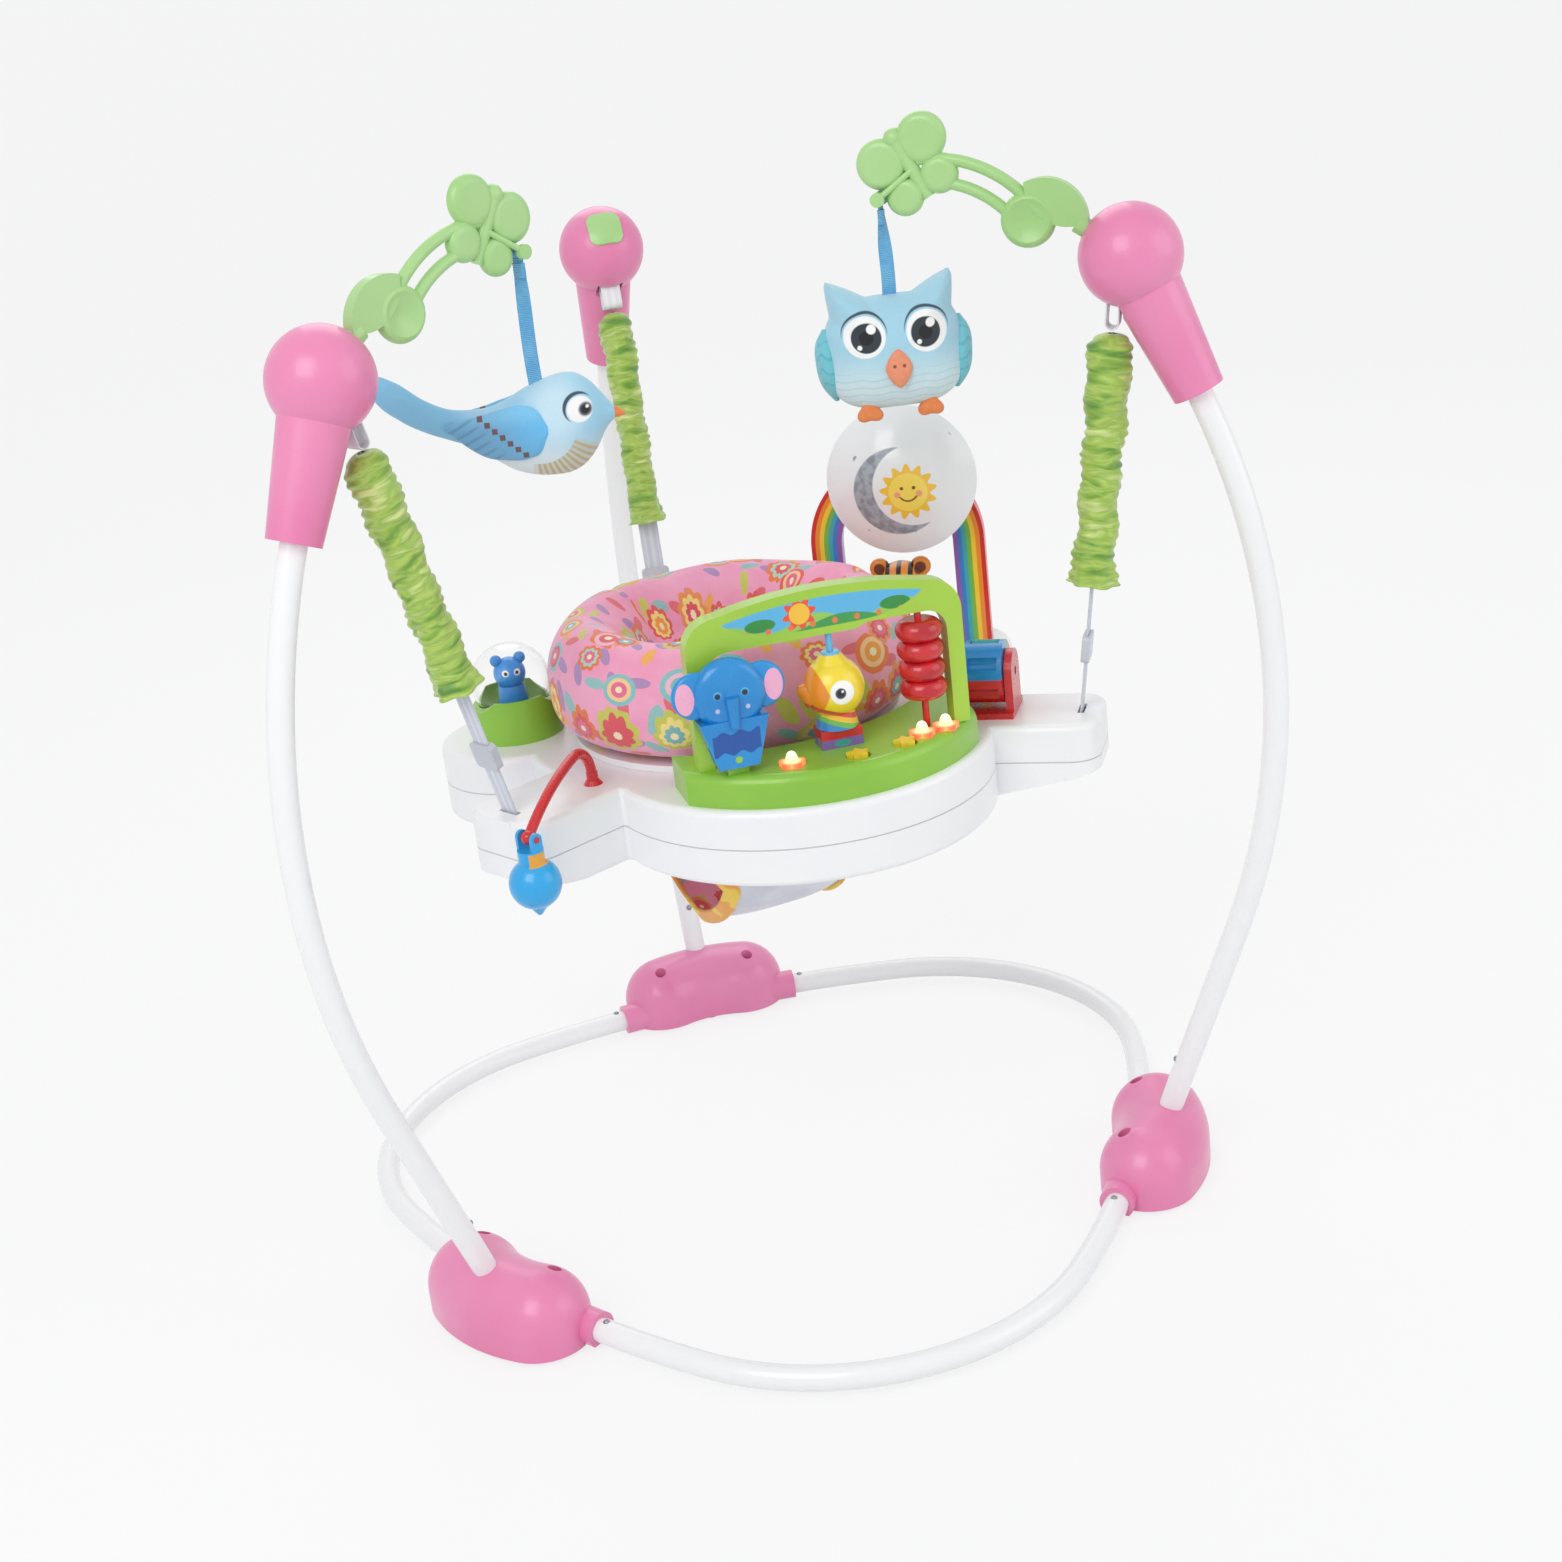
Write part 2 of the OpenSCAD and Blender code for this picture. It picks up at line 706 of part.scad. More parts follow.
// Spring: one wire from a stub on the axis, out into its curls and back to a stub.
spring_mid_r = (spring_d - spring_wire_d)/2;
spring_steps = spring_curls*curl_rings;
function spring_swell(t) = spring_mid_r*min(1, 2*spring_curls*min(t, 1 - t));
function spring_z(t) = -(spring_s0 + spring_wire_d) - t*(spring_s1 - spring_s0 - 2*spring_wire_d);
spring_path = concat(
    [[0, 0, -spring_s0]],
    [for (i = [0:spring_steps]) let (t = i/spring_steps, a = 360*spring_curls*t)
        [spring_swell(t)*cos(a), spring_swell(t)*sin(a), spring_z(t)]],
    [[0, 0, -spring_s1]]
);
spring_turns = concat([0], [for (i = [0:spring_steps]) 360*spring_curls*i/spring_steps], [360*spring_curls]);
function unit(v) = v/norm(v);
function wire_ring(path, i, spoke, r, sides) =
    let (
        t = unit(path[min(i + 1, len(path) - 1)] - path[max(i - 1, 0)]),
        n = unit(spoke - (spoke*t)*t),
        b = cross(t, n)
    )
    [for (j = [0:sides - 1]) path[i] + r*(n*cos(360*j/sides) + b*sin(360*j/sides))];
spring_rings = [
    for (i = [0:len(spring_path) - 1])
        let (spoke = [cos(spring_turns[i]), sin(spring_turns[i]), 0])
        wire_ring(spring_path, i, spoke, spring_wire_d/2, wire_sides)
];
spring_self_gap = min([
    for (i = [0:len(spring_path) - 1], j = [0:len(spring_path) - 1])
        if (j - i >= curl_rings/2) norm(spring_path[i] - spring_path[j]) - spring_wire_d
]);
echo(spring_least_self_gap_mm = spring_self_gap);

module springs() {
    color(steel) for (az = leg_azs) rotate([0, 0, az]) hung(az) loft(spring_rings);
}

// Sleeve: gathered cloth tube, ruffled along its length, drawn in at the top and flared at the bottom.
sleeve_rows = 22;
sleeve_sides = 14;
sleeve_bore = spring_d/2 + 2;
function sleeve_r(t, a) =
    let (
        body = sleeve_d/2 - 3 - 4*pow(1 - t, 6) + 3*pow(t, 8),
        gather = 1.8*sin(360*9*t + 70*sin(2*a)),
        pleat = 1.2*sin(5*a + 200*t)
    )
    max(body + gather + pleat, sleeve_bore + 1.2);
sleeve_rings = concat(
    [for (i = [0:sleeve_rows - 1]) let (t = i/(sleeve_rows - 1))
        [for (j = [0:sleeve_sides - 1]) let (a = 360*j/sleeve_sides, r = sleeve_r(t, a))
            [r*cos(a), r*sin(a), -sleeve_s0 - t*sleeve_len]]],
    [for (s = [sleeve_s1 - 1, sleeve_s0 + 1])
        [for (j = [0:sleeve_sides - 1]) let (a = 360*j/sleeve_sides)
            [sleeve_bore*cos(a), sleeve_bore*sin(a), -s]]]
);

module sleeves() {
    points = [for (r = sleeve_rings) each r];
    color([0.62, 0.78, 0.3]) for (az = leg_azs) rotate([0, 0, az]) hung(az)
        polyhedron(points, ring_grid(len(sleeve_rings), sleeve_sides));
}

// Straps run from the springs through the arms and end in a folded stop under the tray's top.
module straps() {
    color(webbing) for (az = leg_azs) rotate([0, 0, az]) hung(az) {
        stop = hang_len(az) + stop_w/2*tan(hang_tilt(az)) + (tray_wall + seat_gap)/cos(hang_tilt(az));
        translate([-strap_t/2, -strap_w/2, -stop - stop_h/2])
            cube([strap_t, strap_w, stop + stop_h/2 - strap_s0]);
        translate([-stop_w/2, -strap_w/2 - 5, -stop - stop_h]) cube([stop_w, strap_w + 10, stop_h]);
    }
}

module strap_adjusters() {
    color([0.45, 0.46, 0.48]) for (az = leg_azs) rotate([0, 0, az]) hung(az)
        translate([0, 0, adjuster_up - hang_len(az) - 12])
        difference() {
            translate([-3.5, 0, 0]) rotate([90, 0, 90]) linear_extrude(7) round_rect(strap_w + 8, 24, 4);
            translate([-strap_t/2 - seat_gap, -strap_w/2 - seat_gap, -1])
                cube([strap_t + 2*seat_gap, strap_w + 2*seat_gap, 26]);
        }
}

// Tray

module tray_arm(az, inset, h, f) {
    w = arm_w - 2*inset;
    c = arm_corner - inset;
    tip = reach(az) - inset;
    round_bar(seat_hole_r, tip - c, w, h, f);
    round_bar(seat_hole_r, tip, w - 2*c, h, f);
    for (s = [-1, 1]) translate([tip - c, s*(w/2 - c), 0]) puck(c, h, f);
}

// The tray's plan: round middle, three lobes and three arms, with rounded upper edges.
module tray_form(inset, h, f) {
    puck(tray_disc_r - inset, h, f);
    translate(front_lobe) puck(front_lobe_r - inset, h, f);
    translate(left_lobe) puck(left_lobe_r - inset, h, f);
    translate(right_lobe) puck(right_lobe_r - inset, h, f);
    for (az = leg_azs) rotate([0, 0, az]) tray_arm(az, inset, h, f);
}

module tray_hole(r) {
    cylinder(r = r, h = big, center = true, $fn = 96);
}

// Cuts the underside of the arms so that they sweep up towards their tips.
module arm_sweep(raise) {
    for (az = leg_azs) rotate([0, 0, az])
        translate([arm_bosses_r + 16, -arm_w, lower_h - raise]) rotate([0, arm_sweep_angle, 0])
        cube([rear_reach, 2*arm_w, lower_h]);
}

module tray_shell(h, f, raise) {
    difference() {
        tray_form(0, h, f);
        difference() {
            translate([0, 0, -1]) tray_form(tray_wall, h - tray_wall + 1, 1);
            tray_hole(seat_hole_r + tray_wall);
            if (raise) arm_sweep(tray_wall);
        }
        tray_hole(seat_hole_r);
        if (raise) arm_sweep(0);
    }
}

upper_h = tray_top_z - tray_split_z;
lower_h = tray_split_z - tray_z0;

module tray_upper() {
    color(white) difference() {
        union() {
            translate([0, 0, tray_split_z]) tray_shell(upper_h, tray_edge, false);
            for (p = tray_boss_at) translate([p.x, p.y, tray_split_z])
                cylinder(d = boss_d, h = upper_h - tray_wall/2);
        }
        for (p = tray_boss_at) translate([p.x, p.y, tray_split_z - 1]) cylinder(d = screw_d + 0.2, h = 16);
        for (az = leg_azs) rotate([0, 0, az]) hung(az) translate([-3, -strap_w/2 - 2, -hang_len(az) - 8])
            cube([6, strap_w + 4, 16]);
        translate([stem_hole().x, stem_hole().y, tray_top_z - 12]) cylinder(d = stem_d + 4.4, h = 13);
    }
}

function stem_hole() = [
    stem_plug.x*cos(left_az) - stem_plug.y*sin(left_az),
    stem_plug.x*sin(left_az) + stem_plug.y*cos(left_az)
];

// The lower shell is the upper one's plan turned over, with the arms swept up towards their tips.
module tray_lower() {
    head_z = tray_z0 + tray_wall + screw_head_h + 1;
    color(white) difference() {
        union() {
            translate([0, 0, tray_split_z]) mirror([0, 0, 1]) tray_shell(lower_h, tray_edge, true);
            for (p = tray_boss_at) translate([p.x, p.y, tray_z0 + tray_wall/2])
                cylinder(d = boss_d + 2, h = lower_h - tray_wall/2);
            translate([door_at.x - door_size.x/2 - 4, door_at.y - door_size.y/2 - 4, tray_z0 + 1])
                cube([door_size.x + 8, door_size.y + 8, tray_wall + 1]);
        }
        for (p = tray_boss_at) translate([p.x, p.y, tray_z0 - 1]) {
            cylinder(d = screw_head_d + 1, h = head_z - tray_z0 + 1);
            cylinder(d = screw_d + 0.4, h = lower_h + 2);
        }
        translate([door_at.x - door_size.x/2, door_at.y - door_size.y/2, tray_z0 - 1])
            cube([door_size.x, door_size.y, tray_wall + 4]);
    }
}

module tray_screws() {
    head_z = tray_z0 + tray_wall + screw_head_h + 1;
    color(steel) for (p = tray_boss_at) translate([p.x, p.y, head_z]) screw(lower_h + 2);
}

module battery_door() {
    t = tray_wall + 2;
    color(white) translate([door_at.x, door_at.y, tray_z0]) difference() {
        translate([-door_size.x/2 + seat_gap, -door_size.y/2 + seat_gap, 0])
            cube([door_size.x - 2*seat_gap, door_size.y - 2*seat_gap, t]);
        for (x = [-24:6:24]) translate([x, -door_size.y/2, -1]) cube([2, 10, 2]);
    }
}

module batteries() {
    cell_z = tray_z0 + tray_wall + 2 + seat_gap + cell_d/2;
    color([0.3, 0.32, 0.36]) for (i = [-1:1])
        translate([door_at.x, door_at.y + i*(cell_d + 2), cell_z]) rotate([0, 90, 0]) {
            translate([0, 0, -cell_len/2]) cylinder(d = cell_d, h = cell_len - 1.5);
            translate([0, 0, cell_len/2 - 1.5]) cylinder(d = 5.5, h = 1.5);
        }
}

// Seat

module seat_ring() {
    color(white) {
        rotate_extrude($fn = 96) {
            translate([ring_r - ring_wall, tray_z0 - 6]) square([ring_wall, flange_top - tray_z0 + 6]);
            translate([ring_r - ring_wall, flange_z])
                square([ring_flange_r - ring_r + ring_wall, ring_flange_t]);
        }
        for (i = [0:5]) rotate([0, 0, 60*i]) translate([0, 0, tray_z0 - 6])
            rotate_extrude(angle = 20, $fn = 96) translate([ring_r - 1, 0]) square([7, 6 - seat_gap]);
    }
}

// Bolster: padded ring with a crown, a flatter underside, and tucks where the cover is drawn in.
bolster_steps = 48;
bolster_sides = 24;
function bolster_point(u, v) =
    let (
        tuck = 1.6*max(0, -cos(v))*sin(12*u),
        swell = 1 + 0.03*sin(6*u)*max(0, sin(v)),
        lift = sin(v) < 0 ? -pow(-sin(v), 0.6) : sin(v),
        r = bolster_mid_r + (bolster_w/2 - 1)*cos(v)*(1 - 0.08*sin(v)) + tuck,
        z = flange_top + seat_gap + bolster_h/2 + (bolster_h/2)*lift*swell
    )
    [r*cos(u), r*sin(u), z];
bolster_points = [
    for (i = [0:bolster_steps - 1], j = [0:bolster_sides - 1])
        bolster_point(360*i/bolster_steps, 360*j/bolster_sides)
];

module bolster() {
    color(pink) polyhedron(bolster_points, ring_grid(bolster_steps, bolster_sides));
}

// Sling: a cloth cup with two leg openings and a crotch strip between them.
sling_bowl_z = tray_top_z - sling_depth + sling_r;
crotch_w = 92;
leg_hole_d = 112;
module sling() {
    color([0.93, 0.6, 0.74]) rotate([0, 0, seat_turn]) difference() {
        union() {
            translate([0, 0, sling_bowl_z]) cylinder(r = sling_r, h = tray_top_z - sling_bowl_z, $fn = 96);
            translate([0, 0, sling_bowl_z]) sphere(r = sling_r, $fn = 96);
        }
        translate([0, 0, sling_bowl_z]) cylinder(r = sling_r - sling_t, h = sling_r, $fn = 96);
        translate([0, 0, sling_bowl_z]) sphere(r = sling_r - sling_t, $fn = 96);
        for (s = [0, 1]) mirror([s, 0, 0]) translate([crotch_w/2, 0, tray_z0 - 50]) rotate([0, 90, 0])
            cylinder(d = leg_hole_d, h = sling_r);
    }
}

// Console

module console_base() {
    color(lime) difference() {
        union() {
            intersection() {
                translate([front_lobe.x, front_lobe.y, tray_top_z]) puck(console_base_r, console_h, 9);
                translate([console_x - console_base_w/2, -big, 0]) cube([console_base_w, big, big]);
            }
            elephant_stub();
        }
        cylinder(r = bolster_clear_r + 10, h = big, $fn = 96);
        for (p = star_at) translate([p.x, p.y, tray_top_z - 1]) {
            cylinder(r = star_r + 0.6, h = console_h + 2);
            cylinder(r = star_r + 3.6, h = console_h - 5);
        }
        translate([bead_x, toy_y, console_top - spindle_in - seat_gap])
            cylinder(d = spindle_d + 2*run_fit, h = 30);
    }
}

stub_t = 8;
stub_z = console_top + 14;
module elephant_stub() {
    translate([elephant_at.x, elephant_at.y, console_top - 1]) {
        translate([-9, -stub_t/2, 0]) cube([18, stub_t, stub_z - console_top + 1]);
        translate([0, stub_t/2, stub_z - console_top + 1]) rotate([90, 0, 0]) cylinder(d = 18, h = stub_t);
        translate([0, 11, stub_z - console_top + 1]) rotate([90, 0, 0]) cylinder(d = spindle_d, h = 22);
    }
}

module arch_outline() {
    round_rect(arch_w, arch_side_h, arch_corner);
    translate([-arch_w/2, 0]) square([arch_w, arch_side_h/2]);
    half = arch_w/2 - arch_corner;
    crown_r = (half*half + arch_rise*arch_rise)/(2*arch_rise);
    intersection() {
        translate([0, arch_side_h + arch_rise - crown_r]) circle(crown_r, $fn = 180);
        translate([-half, arch_side_h - arch_corner]) square([2*half, arch_corner + arch_rise]);
    }
}

module console_arch() {
    color(lime) difference() {
        translate([console_x, console_y + arch_t/2, console_top]) rotate([90, 0, 0])
            linear_extrude(arch_t) difference() {
            arch_outline();
            translate([0, -arch_corner])
                round_rect(arch_w - 2*arch_bar, window_h + arch_corner, arch_corner - 6);
            translate([arch_w/2 - arch_bar - bay_w/2, -arch_corner])
                round_rect(bay_w, window_h + bay_up + arch_corner, 18);
        }
        translate([parrot_x, toy_y, console_top + window_h - 1])
            cylinder(d = spindle_d + 2*run_fit, h = spindle_in + seat_gap + 1);
        translate([bead_x, toy_y, console_top + window_h + bay_up - 1])
            cylinder(d = spindle_d + 2*run_fit, h = spindle_in + seat_gap + 1);
    }
}

// Flower-shaped light lenses: five petals round a dome.
module light_flowers() {
    color([1, 0.85, 0.6]) for (p = light_at) translate([p.x, p.y, console_top]) {
        linear_extrude(4) {
            for (i = [0:4]) rotate([0, 0, 72*i]) translate([7, 0]) circle(d = 9);
            circle(d = 13);
        }
        translate([0, 0, 3]) cylinder(d1 = 12, d2 = 9.6, h = 5);
        translate([0, 0, 8]) sphere(d = 9, $fn = 32);
    }
}

module perch_block() {
    color(red) difference() {
        translate([parrot_x - perch.x/2, toy_y - perch.y/2, console_top]) cube(perch);
        translate([parrot_x, toy_y, console_top + perch.z - spindle_in - seat_gap])
            cylinder(d = spindle_d + 2*run_fit, h = 30);
    }
}

module star_button(i) {
    outer = star_r;
    inner = 5.5;
    color(yellow) translate([star_at[i].x, star_at[i].y, 0]) {
        translate([0, 0, console_top - 7.5]) linear_extrude(11)
            polygon([for (k = [0:9]) (k % 2 == 0 ? outer : inner)*[cos(36*k + 90), sin(36*k + 90)]]);
        translate([0, 0, console_top - 10]) cylinder(r = star_r + 2.8, h = 4);
    }
}

// Elephant: round head with two ears, a trunk and a forked, tapering body that rocks on the stub's pin.
module elephant() {
    head_z = stub_z + 54;
    body = [[-17, -7], [17, -7], [29, 34], [-29, 34]];
    color(blue) translate([elephant_at.x, elephant_at.y, 0]) difference() {
        union() {
            translate([0, 0, head_z]) sphere(r = 11);
            translate([0, 0, head_z]) pad_disc(31, 20);
            for (s = [-1, 1]) translate([s*28, 0, head_z + 3]) pad_disc(20, 8);
            translate([0, -11, head_z - 26]) cylinder(d1 = 9, d2 = 12, h = 26);
            translate([0, 11, stub_z]) rotate([90, 0, 0]) linear_extrude(22) polygon(body);
        }
        translate([-40, -stub_t/2 - move_gap, 0]) cube([80, stub_t + 2*move_gap, stub_z + 11]);
        translate([0, 20, stub_z]) rotate([90, 0, 0]) cylinder(d = spindle_d + 2*run_fit, h = 40);
    }
}

// Parrot: crested head with a beak, turning on an upright spindle.
module parrot() {
    z0 = console_top + perch.z + move_gap;
    z1 = console_top + window_h - move_gap;
    head_z = z0 + 34;
    color(yellow) translate([parrot_x, toy_y, 0]) {
        translate([0, 0, z0 - spindle_in]) cylinder(d = spindle_d, h = z1 - z0 + 2*spindle_in);
        translate([0, 0, z0]) cylinder(r1 = 18, r2 = 14, h = 20);
        translate([0, 0, head_z]) sphere(r = 26);
        translate([0, 0, head_z + 17]) cylinder(r1 = 18, r2 = 7, h = 14);
        translate([-20, 0, head_z - 2]) rotate([0, -68, 0]) cylinder(r1 = 13, r2 = 3, h = 12);
    }
}

// Bumpy bead column on its spindle.
module bead_column() {
    z0 = console_top + move_gap;
    z1 = console_top + window_h + bay_up - move_gap;
    bead_r = 20;
    bead_h = 18;
    bead_z = console_top + 26 + bead_h/2;
    color(red) translate([bead_x, toy_y, 0]) {
        translate([0, 0, z0 - spindle_in]) cylinder(d = spindle_d, h = z1 - z0 + 2*spindle_in);
        for (i = [0:3]) translate([0, 0, bead_z + i*(bead_h - 1)]) rotate_extrude() {
            translate([0, -bead_h/2]) square([bead_r - bead_h/2, bead_h]);
            intersection() {
                translate([bead_r - bead_h/2, 0]) circle(d = bead_h);
                translate([0, -bead_h/2]) square([bead_r, bead_h]);
            }
        }
    }
}

// Roller on the root of the right arm, turning between two cheeks.
module at_roller() {
    rotate([0, 0, right_az]) translate([roller_r0, 0, 0]) children();
}

module roller_cradle() {
    cheek = 7;
    color(red) at_roller() difference() {
        union() {
            translate([-roller_len/2 - cheek - 1, -26, tray_top_z]) cube([roller_len + 2*cheek + 2, 52, 5]);
            for (s = [-1, 1]) translate([s*(roller_len/2 + 1 + cheek/2) - cheek/2, 0, 0]) {
                translate([0, -20, tray_top_z + 4]) cube([cheek, 40, roller_z - tray_top_z - 4]);
                translate([0, 0, roller_z]) rotate([0, 90, 0]) cylinder(d = 40, h = cheek);
            }
        }
        translate([-40, 0, roller_z]) rotate([0, 90, 0]) cylinder(d = axle_d + 2*run_fit, h = 80);
    }
}

module roller_drum() {
    color(blue) at_roller() translate([0, 0, roller_z]) rotate([0, 90, 0]) {
        translate([0, 0, -roller_len/2]) difference() {
            cylinder(d = roller_d, h = roller_len);
            for (i = [0:5]) rotate([0, 0, 60*i]) translate([roller_d/2 + 3, 0, 4])
                cylinder(d = 14, h = roller_len - 8);
        }
        translate([0, 0, -roller_len/2 - 7]) cylinder(d = axle_d, h = roller_len + 14);
    }
}

// Rainbow arch with the globe disc in front of its crown and the tiger between its legs.
module at_rainbow() {
    translate(rainbow_at) rotate([0, 0, rainbow_az]) children();
}

tiger_z = tray_top_z + 16;
tiger_ear_x = 8;
module rainbow_arch() {
    color(orange) at_rainbow() {
        translate([0, rainbow_t/2, 0]) rotate([90, 0, 0]) linear_extrude(rainbow_t) difference() {
            union() {
                translate([0, rainbow_c_z]) circle(rainbow_out, $fn = 96);
                translate([-rainbow_out, tray_top_z]) square([2*rainbow_out, rainbow_c_z - tray_top_z]);
            }
            translate([0, rainbow_c_z]) circle(rainbow_out - rainbow_band, $fn = 96);
            translate([-rainbow_out + rainbow_band, tray_top_z + 4])
                square([2*(rainbow_out - rainbow_band), rainbow_c_z - tray_top_z - 4]);
        }
        translate([globe_x, 0, globe_z]) rotate([90, 0, 0]) cylinder(d = axle_d, h = rainbow_t/2 + 0.6 + 24);
        for (s = [-1, 1]) translate([s*(tiger_ear_x + 2.5) - 2.5, -6, tray_top_z + 3])
            cube([5, 12, tiger_z - tray_top_z + 3]);
        translate([-tiger_ear_x - 1, 0, tiger_z]) rotate([0, 90, 0])
            cylinder(d = spindle_d, h = 2*tiger_ear_x + 2);
    }
}

module tiger() {
    head_z = tray_top_z + 62;
    color(orange) at_rainbow() difference() {
        union() {
            translate([0, 0, tiger_z]) rotate([0, 90, 0])
                cylinder(d = 12, h = 2*tiger_ear_x - 1, center = true);
            translate([0, 0, tiger_z]) cylinder(d = 11, h = head_z - tiger_z);
            translate([0, 0, head_z]) sphere(r = 26);
            for (s = [-1, 1]) translate([s*20, 0, head_z + 20]) pad_disc(10, 9);
            translate([0, -20, head_z - 8]) sphere(r = 12, $fn = 48);
        }
        translate([-20, 0, tiger_z]) rotate([0, 90, 0]) cylinder(d = spindle_d + 2*run_fit, h = 40);
    }
}

module globe_disc() {
    lens_r = (globe_d*globe_d/4 + globe_t*globe_t/4)/globe_t;
    color([0.92, 0.95, 0.95]) at_rainbow() translate([globe_x, -globe_off, globe_z]) difference() {
        intersection_for(s = [-1, 1]) translate([0, s*(lens_r - globe_t/2), 0]) sphere(r = lens_r, $fn = 128);
        translate([0, globe_t/2 + 1, 0]) rotate([90, 0, 0]) cylinder(d = axle_d + 2*run_fit, h = 26);
    }
}

// Clear dome with a critter inside, turning on an upright pivot in a green cup.
module dome_cradle() {
    color(lime) translate([dome_at.x, dome_at.y, 0]) difference() {
        translate([0, 0, tray_top_z]) cylinder(d1 = dome_d + 12, d2 = dome_d + 2, h = 40);
        translate([0, 0, dome_z]) sphere(d = dome_d + 2*move_gap, $fn = 96);
        translate([0, 0, tray_top_z + 2]) cylinder(d = spindle_d + 2*run_fit, h = 30);
        for (s = [0, 1]) mirror([s, 0, 0]) translate([dome_d*0.62, 0, tray_top_z + 58]) rotate([90, 0, 0])
            cylinder(d = 60, h = big, center = true);
    }
}

dome_shell = 2;
module dome_ball() {
    color([0.85, 0.92, 0.95, 0.4]) translate([dome_at.x, dome_at.y, dome_z]) {
        difference() {
            sphere(d = dome_d, $fn = 96);
            sphere(d = dome_d - 2*dome_shell, $fn = 96);
        }
        translate([0, 0, -dome_d/2 - 9]) cylinder(d = spindle_d, h = 10);
    }
}

module dome_critter() {
    floor_z = -dome_d*0.34;
    color(blue) translate([dome_at.x, dome_at.y, dome_z]) {
        intersection() {
            sphere(d = dome_d - 2*dome_shell - 2*seat_gap, $fn = 96);
            translate([-big/2, -big/2, -big + floor_z]) cube(big);
        }
        translate([0, 0, floor_z - 1]) cylinder(r1 = 15, r2 = 12, h = 24);
        translate([0, 0, floor_z + 34]) sphere(r = 15, $fn = 48);
        for (s = [-1, 1]) translate([s*11, 0, floor_z + 47]) sphere(r = 5.5, $fn = 32);
    }
}

// Bent stem plugged into the left arm, carrying the dangling toy.
module at_stem() {
    rotate([0, 0, left_az]) translate([stem_plug.x, stem_plug.y, tray_top_z])
        rotate([0, 0, stem_turn]) children();
}

stem_h1 = stem_bend1*(1 - cos(stem_turn1));
stem_v1 = stem_rise + stem_bend1*sin(stem_turn1);
stem_dip = stem_turn1 - 90;
stem_h2 = stem_h1 + stem_bend2*(sin(stem_dip + stem_turn2) - sin(stem_dip));
stem_v2 = stem_v1 - stem_bend2*(cos(stem_dip) - cos(stem_dip + stem_turn2));

module dangle_stem() {
    color(red) at_stem() {
        translate([0, 0, -10]) cylinder(d = stem_d + 4, h = 12);
        cylinder(d1 = stem_d + 8, d2 = stem_d + 2, h = stem_rise - 4);
        cylinder(d = stem_d + 1.2, h = stem_rise + 3);
        translate([stem_bend1, 0, stem_rise]) rotate([90, 0, 0]) arc(stem_bend1, 180 - stem_turn1, 180)
            circle(d = stem_d, $fn = 32);
        translate([stem_h1 - stem_bend2*sin(stem_dip), 0, stem_v1 - stem_bend2*cos(stem_dip)])
            rotate([90, 0, 0])
            arc(stem_bend2, 90 - stem_dip - stem_turn2, 90 - stem_dip) circle(d = stem_d, $fn = 32);
        translate([stem_h2, 0, stem_v2]) {
            sphere(d = stem_knob_d, $fn = 48);
            rotate([0, 0, -stem_turn]) rotate([90, 0, 0])
                cylinder(d = dangle_pin_d, h = stem_knob_d + 11, center = true);
        }
    }
}

module dangle_toy() {
    ear_gap = stem_knob_d/2 + 3*move_gap;
    color(blue) at_stem() translate([stem_h2, 0, stem_v2]) rotate([0, 0, -stem_turn]) difference() {
        union() {
            for (s = [-1, 1]) translate([0, s*(ear_gap + 1.5), 0]) rotate([90, 0, 0])
                cylinder(d = 11, h = 3, center = true);
            for (s = [-1, 1]) translate([-5.5, s*(ear_gap + 1.5) - 1.5, -12]) cube([11, 3, 12]);
            translate([0, 0, -24]) cylinder(d = 22, h = 14);
            translate([0, 0, -40]) cylinder(d1 = 44, d2 = 22, h = 18);
            translate([0, 0, -40]) sphere(d = 44);
            translate([0, 0, -68]) cylinder(d1 = 4, d2 = 26, h = 14);
        }
        rotate([90, 0, 0]) cylinder(d = dangle_pin_d + 2*run_fit, h = 40, center = true);
        translate([-20, -ear_gap, -9]) cube([40, 2*ear_gap, 30]);
    }
}

// Stuffed toys on ribbons

module ribbon(len) {
    ring_d = hook_d + 2*run_fit;
    rotate([90, 0, 0]) translate([0, 0, -ribbon_w/2]) linear_extrude(ribbon_w) difference() {
        union() {
            circle(d = ring_d + 2*ribbon_t);
            translate([-ribbon_t/2, -len]) square([ribbon_t, len]);
        }
        circle(d = ring_d);
    }
}

// Turns a ribbon's plane to its hook's leg.
module at_hook(hook, az) {
    translate([hook.x, hook.y, hook_z]) rotate([0, 0, az]) children();
}

bird_z = -bird_ribbon_len - 38;
bird_stations = [
    [-138, 48, 10, 5], [-115, 34, 16, 8], [-94, 19, 14, 10], [-78, 11, 13, 12], [-56, 4, 16, 16],
    [-42, -1, 21, 20], [-27, -5, 29, 26], [-10, -3, 36, 32], [11, -1, 40, 35], [24, 1, 40, 34],
    [33, 3, 37, 31], [46, 5, 24, 21], [54, 7, 12, 11], [61, 5, 5, 5], [70, 2, 2, 2]
];

module bird_form() {
    loft(oval_rings(bird_stations, 16));
}

module at_bird() {
    translate([bird_hook.x, bird_hook.y, hook_z + bird_z]) rotate([0, 0, toy_az]) children();
}

module bird_body() {
    color(sky) at_bird() bird_form();
}

